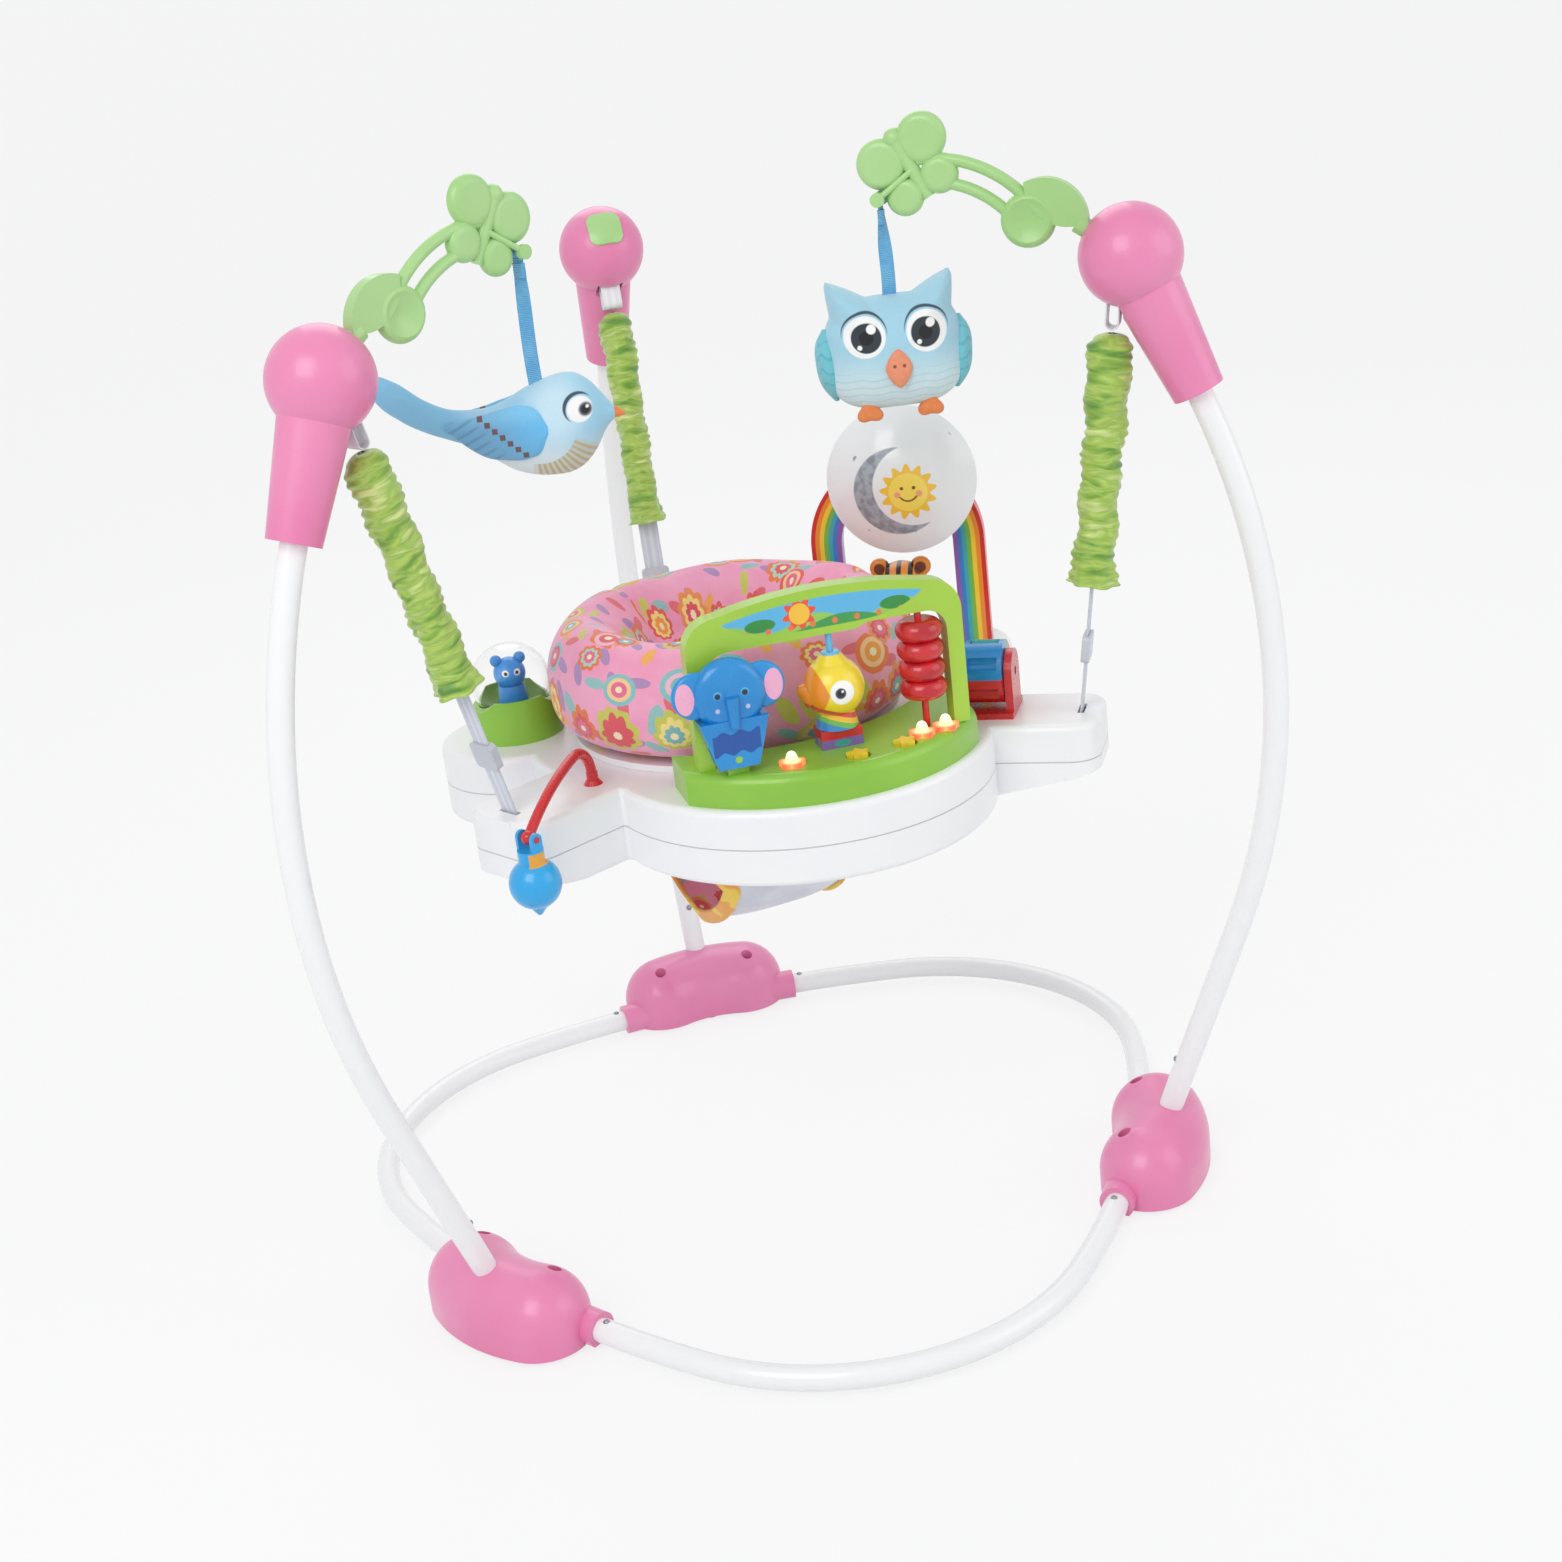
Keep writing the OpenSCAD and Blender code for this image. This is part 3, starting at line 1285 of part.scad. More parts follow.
wing_stations = [
    [-80, 9, 2, 3], [-64, 5, 11, 6], [-48, 1, 17, 8], [-31, 1, 21, 9], [-12, 2, 22, 9], [1, 2, 15, 8],
    [7, 2, 4, 4]
];
wing_lie = 12;
sewn_gap = 1.003;
module bird_wings() {
    color(blue) at_bird() for (s = [0, 1]) mirror([0, s, 0]) difference() {
        translate([0, 31, 0]) rotate([0, 0, wing_lie]) loft(oval_rings(wing_stations, 12));
        scale(sewn_gap) bird_form();
    }
}

module bird_ribbon() {
    color(blue) difference() {
        at_hook(bird_hook, left_az) ribbon(bird_ribbon_len + 6);
        at_bird() bird_form();
    }
}

owl_z = -owl_ribbon_len - 40;
owl_stations = [
    [-48, 0, 26, 14], [-44, 0, 42, 26], [-26, 0, 56, 36], [0, 0, 58, 39], [24, 0, 55, 34], [40, 0, 50, 24],
    [47, 0, 42, 12]
];

module owl_form() {
    rotate([0, -90, 0]) loft(oval_rings(owl_stations, 20));
    for (s = [-1, 1]) translate([s*42, 0, 34]) rotate([0, s*22, 0])
        cylinder(r1 = 17, r2 = 3, h = 30, $fn = 48);
}

module at_owl() {
    translate([owl_hook.x, owl_hook.y, hook_z + owl_z]) rotate([0, 0, toy_az]) children();
}

module owl_body() {
    color(sky) at_owl() owl_form();
}

module owl_ribbon() {
    color(sky) difference() {
        at_hook(owl_hook, right_az) ribbon(owl_ribbon_len + 10);
        at_owl() owl_form();
    }
}

owl_wing_stations = [
    [-36, -4, 3, 8], [-26, -2, 8, 15], [-4, 0, 11, 20], [14, 1, 8, 13], [23, 1, 3, 4]
];
module owl_wings() {
    color([0.43, 0.78, 0.84]) at_owl() for (s = [0, 1]) mirror([s, 0, 0]) difference() {
        translate([56, 0, 0]) rotate([0, -90, 0]) loft(oval_rings(owl_wing_stations, 12));
        scale(sewn_gap) owl_form();
    }
}

// Everything stands round the tray's axis.
module placed() {
    translate([0, axis_y, 0]) children();
}

placed() base_tube(270);  // base_tube_front
placed() base_tube(30);  // base_tube_right
placed() base_tube(150);  // base_tube_left
placed() hub(left_az);  // hub_left
placed() hub(right_az);  // hub_right
placed() hub(rear_az);  // hub_rear
placed() hub_feet();
placed() frame_screws();
placed() leg(left_az);  // leg_left
placed() leg(right_az);  // leg_right
placed() leg(rear_az);  // leg_rear
placed() housing(left_az, 1);  // left_housing_front_half
placed() housing(left_az, -1);  // left_housing_rear_half
placed() housing(right_az, -1);  // right_housing_front_half
placed() housing(right_az, 1);  // right_housing_rear_half
placed() housing(rear_az, 1);  // rear_housing_left_half
placed() housing(rear_az, -1);  // rear_housing_right_half
placed() snap_buttons();
placed() hanger_pins();
placed() rear_socket_cap();
placed() toy_bar(left_az);  // toy_bar_left
placed() toy_bar(right_az);  // toy_bar_right
placed() webbing_loops();
placed() springs();
placed() sleeves();
placed() straps();
placed() strap_adjusters();
placed() tray_upper();
placed() tray_lower();
placed() tray_screws();
placed() battery_door();
placed() batteries();
placed() console_base();
placed() console_arch();
placed() light_flowers();
placed() perch_block();
placed() dome_cradle();
placed() rainbow_arch();
placed() roller_cradle();
placed() dangle_stem();
placed() seat_ring();
placed() bolster();
placed() sling();
placed() elephant();
placed() parrot();
placed() bead_column();
placed() roller_drum();
placed() tiger();
placed() globe_disc();
placed() dome_ball();
placed() dome_critter();
placed() dangle_toy();
placed() star_button(0);  // star_button_left
placed() star_button(1);  // star_button_right
placed() bird_body();
placed() bird_wings();
placed() bird_ribbon();
placed() owl_body();
placed() owl_wings();
placed() owl_ribbon();
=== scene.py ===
# %% [markdown]
# # A baby jumper in Blender
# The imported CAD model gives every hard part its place. This lesson adds what CAD does poorly: sewn and stuffed
# pieces, cloth that is gathered or hung, and the finishes. Everything is in metres, in the CAD frame, with the
# floor at z = 0 and the toy console towards -Y.

# %% Load the frame
import bpy
import numpy as np
from mathutils import Matrix


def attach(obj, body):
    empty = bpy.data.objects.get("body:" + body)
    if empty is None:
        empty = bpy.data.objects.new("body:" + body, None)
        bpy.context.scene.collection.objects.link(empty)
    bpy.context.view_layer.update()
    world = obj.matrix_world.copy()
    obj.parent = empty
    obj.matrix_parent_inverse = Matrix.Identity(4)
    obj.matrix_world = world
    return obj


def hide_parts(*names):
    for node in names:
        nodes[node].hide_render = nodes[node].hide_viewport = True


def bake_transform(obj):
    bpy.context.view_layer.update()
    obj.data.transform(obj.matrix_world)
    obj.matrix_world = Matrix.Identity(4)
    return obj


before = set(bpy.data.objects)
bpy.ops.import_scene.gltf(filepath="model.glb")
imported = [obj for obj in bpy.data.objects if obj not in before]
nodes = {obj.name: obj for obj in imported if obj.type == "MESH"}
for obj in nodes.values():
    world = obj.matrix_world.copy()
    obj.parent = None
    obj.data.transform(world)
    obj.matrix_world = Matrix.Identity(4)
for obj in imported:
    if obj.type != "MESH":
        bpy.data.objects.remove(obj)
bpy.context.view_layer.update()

# %% [markdown]
# ## Camera
# The photograph looks slightly down on the toy from its left, and the whole picture leans a few degrees. The
# camera's three axes are worked out from its azimuth, elevation and roll, and become the columns of its matrix.

# %% Camera
# The seat's axis, which the legs stand round
AXIS_Y = -0.0358247
# The fitted camera: picture width, focal length and sideways shift in pixels, the height it aims at and its distance
# in metres, and its azimuth, elevation and roll in degrees
FRAME_PX, FOCAL_PX, SHIFT_PX = 1562, 2247.34, 35.235
AIM_Z, EYE_GAP = 0.39475, 2.09845
EYE_TURNS = (-12.2115, 20.1108, -6.9393)
SENSOR_MM = 36


def eye_axes(azimuth, elevation, roll):
    """Right, up and back axes of a camera: back points from the target to the eye, and roll turns the other two."""
    a, e, r = np.radians([azimuth, elevation, roll])
    back = np.array([np.sin(a)*np.cos(e), -np.cos(a)*np.cos(e), np.sin(e)])
    right = np.array([np.cos(a), np.sin(a), 0.0])
    up = np.cross(back, right)
    return np.cos(r)*right + np.sin(r)*up, np.cos(r)*up - np.sin(r)*right, back


right, up, back = eye_axes(*EYE_TURNS)
eye = np.array([0, AXIS_Y, AIM_Z]) + EYE_GAP*back
lens = bpy.data.cameras.new("eye")
lens.lens = FOCAL_PX/FRAME_PX*SENSOR_MM
lens.shift_x = SHIFT_PX/FRAME_PX
lens.clip_end = 60
camera = bpy.data.objects.new("eye", lens)
camera.matrix_world = Matrix(np.vstack([np.column_stack([right, up, back, eye]), [0, 0, 0, 1]]).tolist())
bpy.context.scene.collection.objects.link(camera)
bpy.context.scene.camera = camera
print("camera at", np.round(eye, 3), "lens", round(lens.lens, 2))

# %% [markdown]
# ## Skinning a grid
# Wires, bands, pads and cloth are all surfaces of two parameters, so each of them can be worked out as one grid
# of points. This helper joins the neighbours in such a grid with quads and lays a UV map in metres over it.
# Moving the points of Blender's own primitives would take longer and say less about the shape.

# %% Mesh maker
def skin(name, grid, around=False, along=False, caps=False, uv=(1.0, 1.0)):
    """Skins a grid of points, rows along a piece and columns round it, with quads. around and along close it on
    itself, caps closes both ends with a fan, and uv gives the size in metres that the grid's two sides stand for."""
    rows, cols = grid.shape[:2]
    i, j = np.meshgrid(np.arange(rows - (not along)), np.arange(cols - (not around)), indexing="ij")
    corner = [(i, j), (i, j + 1), (i + 1, j + 1), (i + 1, j)]
    quads = np.stack([(a % rows)*cols + b % cols for a, b in corner], -1).reshape(-1, 4)
    spans = max(rows - (not along), 1), max(cols - (not around), 1)
    places = np.stack([np.stack([a/spans[0]*uv[0], b/spans[1]*uv[1]], -1) for a, b in corner], 2).reshape(-1, 4, 2)
    points = grid.reshape(-1, 3)
    faces, maps = [quads], [places]
    if caps:
        k = np.arange(cols)
        first, last = rows*cols, rows*cols + 1
        points = np.vstack([points, grid[0].mean(0), grid[-1].mean(0)])
        for hub, ring, v in ((first, 0, 0.0), (last, (rows - 1)*cols, uv[0])):
            pair = (k + 1, k) if hub == first else (k, k + 1)
            fan = np.stack([np.full(cols, hub), ring + pair[0] % cols, ring + pair[1] % cols], -1)
            faces.append(fan)
            maps.append(np.stack([np.stack([np.full(cols, v), p/cols*uv[1]], -1) for p in (k, *pair)], 1))
    if caps or (around and along):
        a, b, c = np.moveaxis(points[quads[:, :3]] - points.mean(0), 1, 0)
        if np.einsum("ij,ij->i", a, np.cross(b, c)).sum() < 0:
            faces, maps = [f[:, ::-1] for f in faces], [m[:, ::-1] for m in maps]
    mesh = bpy.data.meshes.new(name)
    mesh.from_pydata(points.tolist(), [], [f for part in faces for f in part.tolist()])
    layer = mesh.uv_layers.new(name="cloth")
    layer.data.foreach_set("uv", np.concatenate([m.reshape(-1) for m in maps]))
    mesh.shade_smooth()
    obj = bpy.data.objects.new(name, mesh)
    bpy.context.scene.collection.objects.link(obj)
    return obj


# %% [markdown]
# ## Floor and light
# The toy stands on a plain pale floor that curves up into a wall behind it. Three large soft lamps and an even
# sky light it, so that a colour renders about as it is written.

# %% Floor, lamps and sky
def floor_sweep(side, front, reach, height, bend):
    """A floor that runs from front back to reach, turns up through a quarter circle of radius bend and ends at
    height."""
    turn = np.linspace(0, np.pi/2, 24)
    y = np.concatenate([[front], reach + bend*np.sin(turn), [reach + bend]])
    z = np.concatenate([[0.0], bend - bend*np.cos(turn), [height]])
    x = np.linspace(-side, side, 3)
    return np.stack(np.broadcast_arrays(x, y[:, None], z[:, None]), -1)


floor = skin("floor", floor_sweep(9.0, -4.0, 3.2, 6.0, 2.5)[:, ::-1])


def lamp(name, place, target, size, watts):
    """A square soft lamp of that size at place, facing target."""
    light = bpy.data.lights.new(name, "AREA")
    light.size, light.energy = size, watts
    back = np.array(place, float) - np.array(target, float)
    back /= np.linalg.norm(back)
    side = np.cross([0, 0, 1.0], back)
    side /= np.linalg.norm(side)
    obj = bpy.data.objects.new(name, light)
    columns = np.column_stack([side, np.cross(back, side), back, place])
    obj.matrix_world = Matrix(np.vstack([columns, [0, 0, 0, 1]]).tolist())
    bpy.context.scene.collection.objects.link(obj)


lamp("key", (-1.6, -2.0, 2.5), (0, 0, 0.5), 1.8, 34)
lamp("fill", (2.4, -1.6, 1.6), (0, 0, 0.5), 2.0, 14)
lamp("rear", (0.4, 2.2, 2.6), (0, 0, 0.6), 2.0, 16)
SKY_LIGHT = 0.62
scene = bpy.context.scene
scene.view_settings.view_transform = "Standard"
sky = bpy.data.worlds.new("sky")
sky.use_nodes = True
sky.node_tree.nodes["Background"].inputs["Color"].default_value = (1, 1, 1, 1)
sky.node_tree.nodes["Background"].inputs["Strength"].default_value = SKY_LIGHT
scene.world = sky

# %% [markdown]
# ## Writing materials as expressions
# A material is a sum of patterns. One small class wraps a shader socket: arithmetic on it adds Math nodes, and
# its node method adds any other kind. Colours are mixed, never put through Math, which would turn them grey.

# %% Shader expressions
class Shade:
    """One value, colour or vector of a material, which can be used in Python expressions."""

    def __init__(self, tree, socket):
        self.tree, self.socket = tree, socket

    def node(self, kind, settings=None, sockets=None, out=0):
        """Adds a node, sets it up, fills its sockets with numbers, colours or links, and gives one output."""
        made = self.tree.nodes.new(kind)
        for key, value in (settings or {}).items():
            if key == "stops":
                ramp = made.color_ramp.elements
                ramp[0].position, ramp[0].color = value[0]
                ramp[1].position, ramp[1].color = value[-1]
                for place, colour in value[1:-1]:
                    ramp.new(place).color = colour
            elif key == "steps":
                made.color_ramp.interpolation = value
            else:
                setattr(made, key, value)
        for key, value in (sockets or {}).items():
            if isinstance(value, Shade):
                self.tree.links.new(value.socket, made.inputs[key])
            else:
                made.inputs[key].default_value = value
        return Shade(self.tree, made.outputs[out])

    def out(self, name):
        """Another output of the node that this value comes from."""
        return Shade(self.tree, self.socket.node.outputs[name])

    def math(self, operation, a, b=0.0):
        """One Math node on two values."""
        return self.node("ShaderNodeMath", {"operation": operation}, {0: a, 1: b})

    # Arithmetic on values adds a Math node, and the reflected forms let a number stand first
    def __add__(self, other):
        return self.math("ADD", self, other)

    def __radd__(self, other):
        return self.math("ADD", other, self)

    def __sub__(self, other):
        return self.math("SUBTRACT", self, other)

    def __rsub__(self, other):
        return self.math("SUBTRACT", other, self)

    def __mul__(self, other):
        return self.math("MULTIPLY", self, other)

    def __rmul__(self, other):
        return self.math("MULTIPLY", other, self)

    def __truediv__(self, other):
        return self.math("DIVIDE", self, other)

    def __pow__(self, other):
        return self.math("POWER", self, other)


# %% [markdown]
# ## Small shader functions
# A few patterns come back in every finish: a soft step, a distance, a cloud of noise, a frame that is moved to a
# toy's own place. Written once as functions, they let a finish read like the sentence that describes it.

# %% Small shader functions
def sine(x):
    """Sine of an angle in radians."""
    return x.math("SINE", x)


def size(x):
    """A value without its sign."""
    return x.math("ABSOLUTE", x)


def most(a, b):
    """The larger of two values."""
    return a.math("MAXIMUM", a, b)


def least(a, b):
    """The smaller of two values."""
    return a.math("MINIMUM", a, b)


def rise(x, low, high):
    """0 below low, 1 above high, and an S-shaped rise between; with high below low it falls."""
    settings = {"interpolation_type": "SMOOTHSTEP"}
    return x.node("ShaderNodeMapRange", settings, {"Value": x, "From Min": low, "From Max": high})


def length(x, y):
    """Distance from the origin: the root of the sum of the squares."""
    return (x*x + y*y)**0.5


def mix(mask, a, b):
    """Colour a where the mask is 0, and b where it is 1."""
    return mask.node("ShaderNodeMix", {"data_type": "RGBA"}, {0: mask, 6: a, 7: b}, 2)


def parts(vector):
    """The three coordinates of a vector."""
    split = vector.node("ShaderNodeSeparateXYZ", {}, {0: vector})
    return split.out("X"), split.out("Y"), split.out("Z")


def noise(place, scale, detail=2.0):
    """Cloudy noise from 0 to 1, with about scale clouds to the metre."""
    return place.node("ShaderNodeTexNoise", {}, {"Vector": place, "Scale": scale, "Detail": detail}, "Fac")


def moved(place, origin, turn=0.0):
    """Coordinates in a frame at origin, turned about Z by turn degrees."""
    sockets = {"Vector": place, "Location": origin, "Rotation": (0, 0, np.radians(turn))}
    return place.node("ShaderNodeMapping", {"vector_type": "TEXTURE"}, sockets)


def ink(red, green, blue):
    """The shader's linear colour for screen values from 0 to 255."""
    c = np.array([red, green, blue])/255
    return (*np.where(c <= 0.04045, c/12.92, ((c + 0.055)/1.055)**2.4).tolist(), 1.0)


# %% [markdown]
# ## Making and giving a finish
# Every finish here is one Principled shader. Its paint function says what changes over the surface, and what is
# the same all over is set as plain numbers. Building the nodes by hand in the editor would give the same, but
# couldn't be read as a recipe.

# %% Material maker
def finish(name, paint, roughness=0.4, fixed=None):
    """A material whose paint function takes Object coordinates and gives the sockets that vary, with height as a
    pair of a pattern and its depth in metres; fixed holds the sockets that are the same all over."""
    material = bpy.data.materials.new(name)
    material.use_nodes = True
    tree = material.node_tree
    shader = tree.nodes["Principled BSDF"]
    shader.inputs["Roughness"].default_value = roughness
    for key, value in (fixed or {}).items():
        shader.inputs[key].default_value = value
    place = Shade(tree, tree.nodes.new("ShaderNodeTexCoord").outputs["Object"])
    for key, value in paint(place).items():
        if key == "height":
            bump = place.node("ShaderNodeBump", {}, {"Height": value[0], "Distance": value[1]})
            tree.links.new(bump.socket, shader.inputs["Normal"])
        elif isinstance(value, Shade):
            tree.links.new(value.socket, shader.inputs[key])
        else:
            shader.inputs[key].default_value = value
    return material


def dress(material, *names):
    """Gives these CAD nodes a material."""
    for name in names:
        for slot in nodes[name].material_slots:
            slot.material = material


print("material maker ready")

# %% [markdown]
# ## The floor's white
# The photograph's ground is almost white. Lighting a floor up to that would burn out the pale parts, so the floor
# is a plain matt surface that also shines by itself, but only to the camera and in reflections. It lights
# nothing, and the toy's shadow still falls on its matt share. The sky behind it is brightened for the same rays.

# %% Floor finish
def seen_rays(tree):
    """1 for rays from the camera, from shiny surfaces and through clear plastic, and 0 for those that light
    things."""
    rays = Shade(tree, tree.nodes.new("ShaderNodeLightPath").outputs["Is Camera Ray"])
    return most(most(rays, rays.out("Is Glossy Ray")), rays.out("Is Transmission Ray"))


def floor_white(material, share):
    """Mixes a share of plain white glow into a matt floor, where it is seen."""
    material.use_nodes = True
    tree = material.node_tree
    seen = seen_rays(tree)
    matt = seen.node("ShaderNodeBsdfDiffuse", {}, {"Color": ink(242, 243, 245)})
    glow = seen.node("ShaderNodeEmission", {}, {"Color": ink(253, 253, 253), "Strength": 1.0})
    both = seen.node("ShaderNodeMixShader", {}, {0: seen*share, 1: matt, 2: glow})
    tree.links.new(both.socket, tree.nodes["Material Output"].inputs["Surface"])
    return material


FLOOR_GLOW, SKY_GLOW = 0.8, 0.31
floor.data.materials.append(floor_white(bpy.data.materials.new("floor_white"), FLOOR_GLOW))
glow = SKY_LIGHT + SKY_GLOW*seen_rays(sky.node_tree)
sky.node_tree.links.new(glow.socket, sky.node_tree.nodes["Background"].inputs["Strength"])
print("floor and sky whitened where they are seen")

# %% [markdown]
# ## Moulded plastics and painted tubes
# Most hard parts are glossy injection mouldings. Real ones are never one flat colour: the gloss varies where the
# mould was polished or handled, a fine orange-peel ripples the highlights, and the colour drifts a little.

# %% Plastic recipe
PEEL_DEPTH = 0.00012


def drift(place, colour, deep):
    """Slow change of tone over a moulding: a broad noise, made steeper, mixes the two colours."""
    return mix(rise(noise(place, 7.0, 3.0), 0.3, 0.75), colour, deep)


def gloss_clouds(place):
    """Patches where a moulding was polished or handled."""
    return noise(place, 26.0, 3.0)


def grain(place):
    """The fine grain of a mould."""
    return noise(place, 420.0, 2.0)


def orange_peel(place):
    """Height of a moulded skin: the grain plus a broader ripple of twice its depth."""
    return grain(place) + 2.0*noise(place, 60.0)


def plastic(name, colour, deep, roughness=0.3, ripple=PEEL_DEPTH, coat=0.25):
    """Moulded plastic: slow drift from colour to deep, cloudy gloss, and a fine ripple in the surface."""
    def paint(place):
        return {
            "Base Color": drift(place, colour, deep),
            "Roughness": roughness - 0.06 + 0.1*gloss_clouds(place) + 0.05*grain(place),
            "height": (orange_peel(place), ripple),
        }
    return finish(name, paint, roughness, {"Coat Weight": coat, "Coat Roughness": 0.12})


pink_plastic = plastic("pink_plastic", ink(238, 142, 186), ink(232, 120, 171), 0.32)
leaf_plastic = plastic("leaf_plastic", ink(176, 219, 148), ink(162, 209, 130), 0.34)
white_plastic = plastic("white_plastic", ink(248, 249, 250), ink(243, 244, 247), 0.36)
lime_plastic = plastic("lime_plastic", ink(146, 202, 66), ink(132, 190, 54), 0.3)
grey_plastic = plastic("grey_plastic", ink(204, 207, 216), ink(190, 194, 204), 0.42)
red_plastic = plastic("red_plastic", ink(218, 40, 48), ink(204, 28, 40), 0.26)
yellow_plastic = plastic("yellow_plastic", ink(250, 222, 60), ink(244, 208, 44), 0.3)
foot_rubber = plastic("foot_rubber", ink(62, 62, 66), ink(46, 46, 50), 0.8, 0.0003, 0.0)
print("plastics ready")

# %% [markdown]
# ## Tubes, steel and the tray's seam
# The tubes are powder-coated, the screws and pins are zinc-plated, and a fine line runs round the tray where its
# two shells meet: a shallow groove in the height, greyed with painted shade. All three are only finishes on CAD
# shapes, so each is a colour and a height worked out from the place on the object, and the last lines give every
# hard part of the frame its finish.

# %% Frame finishes
def tube_paint(place):
    """White powder coat: a tight orange-peel with faint scuffed patches."""
    peel = noise(place, 260.0, 2.0)
    scuff = rise(noise(place, 38.0, 6.0), 0.62, 0.8)
    return {
        "Base Color": mix(scuff, ink(247, 248, 249), ink(240, 242, 245)),
        "Roughness": 0.22 + 0.1*scuff + 0.05*peel,
        "height": (peel, 0.00004),
    }


def zinc_paint(place):
    """Zinc-plated steel with a faint crystal bloom."""
    bloom = noise(place, 320.0, 4.0)
    return {"Base Color": mix(bloom, ink(170, 174, 180), ink(132, 136, 142)), "Roughness": 0.3 + 0.2*bloom}


TRAY_SPLIT = 0.4265


def tray_skin(place):
    """White plastic with a fine line where the tray's two shells meet: a groove in the height, greyed with painted
    shade.
    """
    # The seam mask carries a real groove in the height and painted shade in the colour
    seam = rise(size(parts(place)[2] - TRAY_SPLIT), 0.0006, 0.0002)
    shell = drift(place, ink(248, 249, 250), ink(243, 244, 247))
    # The seam line's grey is painted shade, and minus six times the seam in the height is its groove
    return {"Base Color": mix(seam, shell, ink(216, 219, 224)), "Roughness": 0.32 + 0.08*gloss_clouds(place),
            "height": (orange_peel(place) - 6.0*seam, PEEL_DEPTH)}


tray_plastic = finish("tray_plastic", tray_skin, 0.36, {"Coat Weight": 0.25, "Coat Roughness": 0.12})
white_tube = finish("white_tube", tube_paint, 0.28, {"Coat Weight": 0.3, "Coat Roughness": 0.1})
zinc_steel = finish("zinc_steel", zinc_paint, 0.35, {"Metallic": 1.0})
dress(white_tube, "base_tube_front", "base_tube_right", "base_tube_left", "leg_left", "leg_right", "leg_rear")
dress(pink_plastic, "hub_left", "hub_right", "hub_rear", "left_housing_front_half", "left_housing_rear_half",
      "right_housing_front_half", "right_housing_rear_half", "rear_housing_left_half", "rear_housing_right_half")
dress(leaf_plastic, "rear_socket_cap", "toy_bar_left", "toy_bar_right")
dress(tray_plastic, "tray_upper", "tray_lower")
dress(white_plastic, "battery_door", "seat_ring")
dress(zinc_steel, "frame_screws", "snap_buttons", "hanger_pins", "tray_screws", "batteries")
dress(foot_rubber, "hub_feet")
dress(grey_plastic, "strap_adjusters")
print("frame, tray and seat ring finished")

# %% [markdown]
# ## Places shared with the CAD model
# Soft pieces hang where their solids hang, so this cell repeats the few measures that fix those places: the pin
# in each ball, the lean of each strap, and the hooks of the two stuffed toys.

# %% Places
# The tray's top, and the pins in the balls: their distance from the axis and their height
TRAY_TOP = 0.460
HANG_R, HANG_Z = 0.369596, 0.836442
# Each leg's azimuth in degrees, and how far from the axis its strap enters the tray
LEGS = {"left": (210, 0.272), "right": (330, 0.318), "rear": (90, 0.307)}
# Where the sleeves and springs begin and end, down the strap from its pin
SLEEVE = (0.049, 0.264)
SPRING = (0.046, 0.255)
# The hooks that the stuffed toys hang on, and the turn in degrees of both toys
HOOK_R, HOOK_Z = 0.177596, 0.912442
TOY_TURN = -12.0


def turned(axis, degrees):
    """Matrix that turns points about one axis of the frame."""
    c, s = np.cos(np.radians(degrees)), np.sin(np.radians(degrees))
    rows = {"y": [[c, 0, s], [0, 1, 0], [-s, 0, c]], "z": [[c, -s, 0], [s, c, 0], [0, 0, 1]]}
    return np.array(rows[axis])


def strap_frame(leg):
    """Origin at a ball's pin and a matrix whose -Z runs down the strap and whose Y lies along the pin."""
    azimuth, slot_r = LEGS[leg]
    tilt = np.degrees(np.arctan2(HANG_R - slot_r, HANG_Z - TRAY_TOP))
    turn = turned("z", azimuth)
    return turn @ [HANG_R, 0, HANG_Z] + [0, AXIS_Y, 0], turn @ turned("y", tilt)


def strap_length(leg):
    """Straight distance from a ball's pin to where its strap enters the tray."""
    return np.hypot(HANG_R - LEGS[leg][1], HANG_Z - TRAY_TOP)


def hook_place(leg):
    """Where a stuffed toy's ribbon hooks on to the bar of that leg."""
    return turned("z", LEGS[leg][0]) @ [HOOK_R, 0, HOOK_Z] + [0, AXIS_Y, 0]


def settle(points, place):
    """Moves points from a local frame, given as an origin and a matrix, into the object's frame."""
    return points @ place[1].T + place[0]


print("strap lengths:", {leg: round(strap_length(leg), 4) for leg in LEGS})

# %% [markdown]
# ## Curves and sweeps
# Springs, straps, ribbons and bindings are a small profile carried along a path, and the bird is a smooth curve
# through a few measured ovals. Curve objects with a bevel could do the first, but a grid of points can go
# straight to the mesh maker, with its UV map in metres.

# %% Curves and sweeps
def smooth_through(knots, values, at):
    """A curve through the values at the knots: cubic pieces whose slope at a knot comes from its neighbours."""
    slopes = np.gradient(values, knots, axis=0)
    i = np.clip(np.searchsorted(knots, at) - 1, 0, len(knots) - 2)
    h = (knots[i + 1] - knots[i])[:, None]
    t = (at - knots[i])[:, None]/h
    start = (2*t**3 - 3*t**2 + 1)*values[i] + (t**3 - 2*t**2 + t)*h*slopes[i]
    return start + (3*t**2 - 2*t**3)*values[i + 1] + (t**3 - t**2)*h*slopes[i + 1]


def sweep(path, spoke, profile):
    """Carries a closed profile along a path. spoke is the direction that the profile's first coordinate follows,
    made square to the path at each point; the second coordinate is square to both."""
    along = np.gradient(path, axis=0)
    along /= np.linalg.norm(along, axis=1, keepdims=True)
    out = spoke - np.sum(spoke*along, 1, keepdims=True)*along
    out /= np.linalg.norm(out, axis=1, keepdims=True)
    side = np.cross(along, out)
    return path[:, None] + profile[None, :, :1]*out[:, None] + profile[None, :, 1:]*side[:, None]


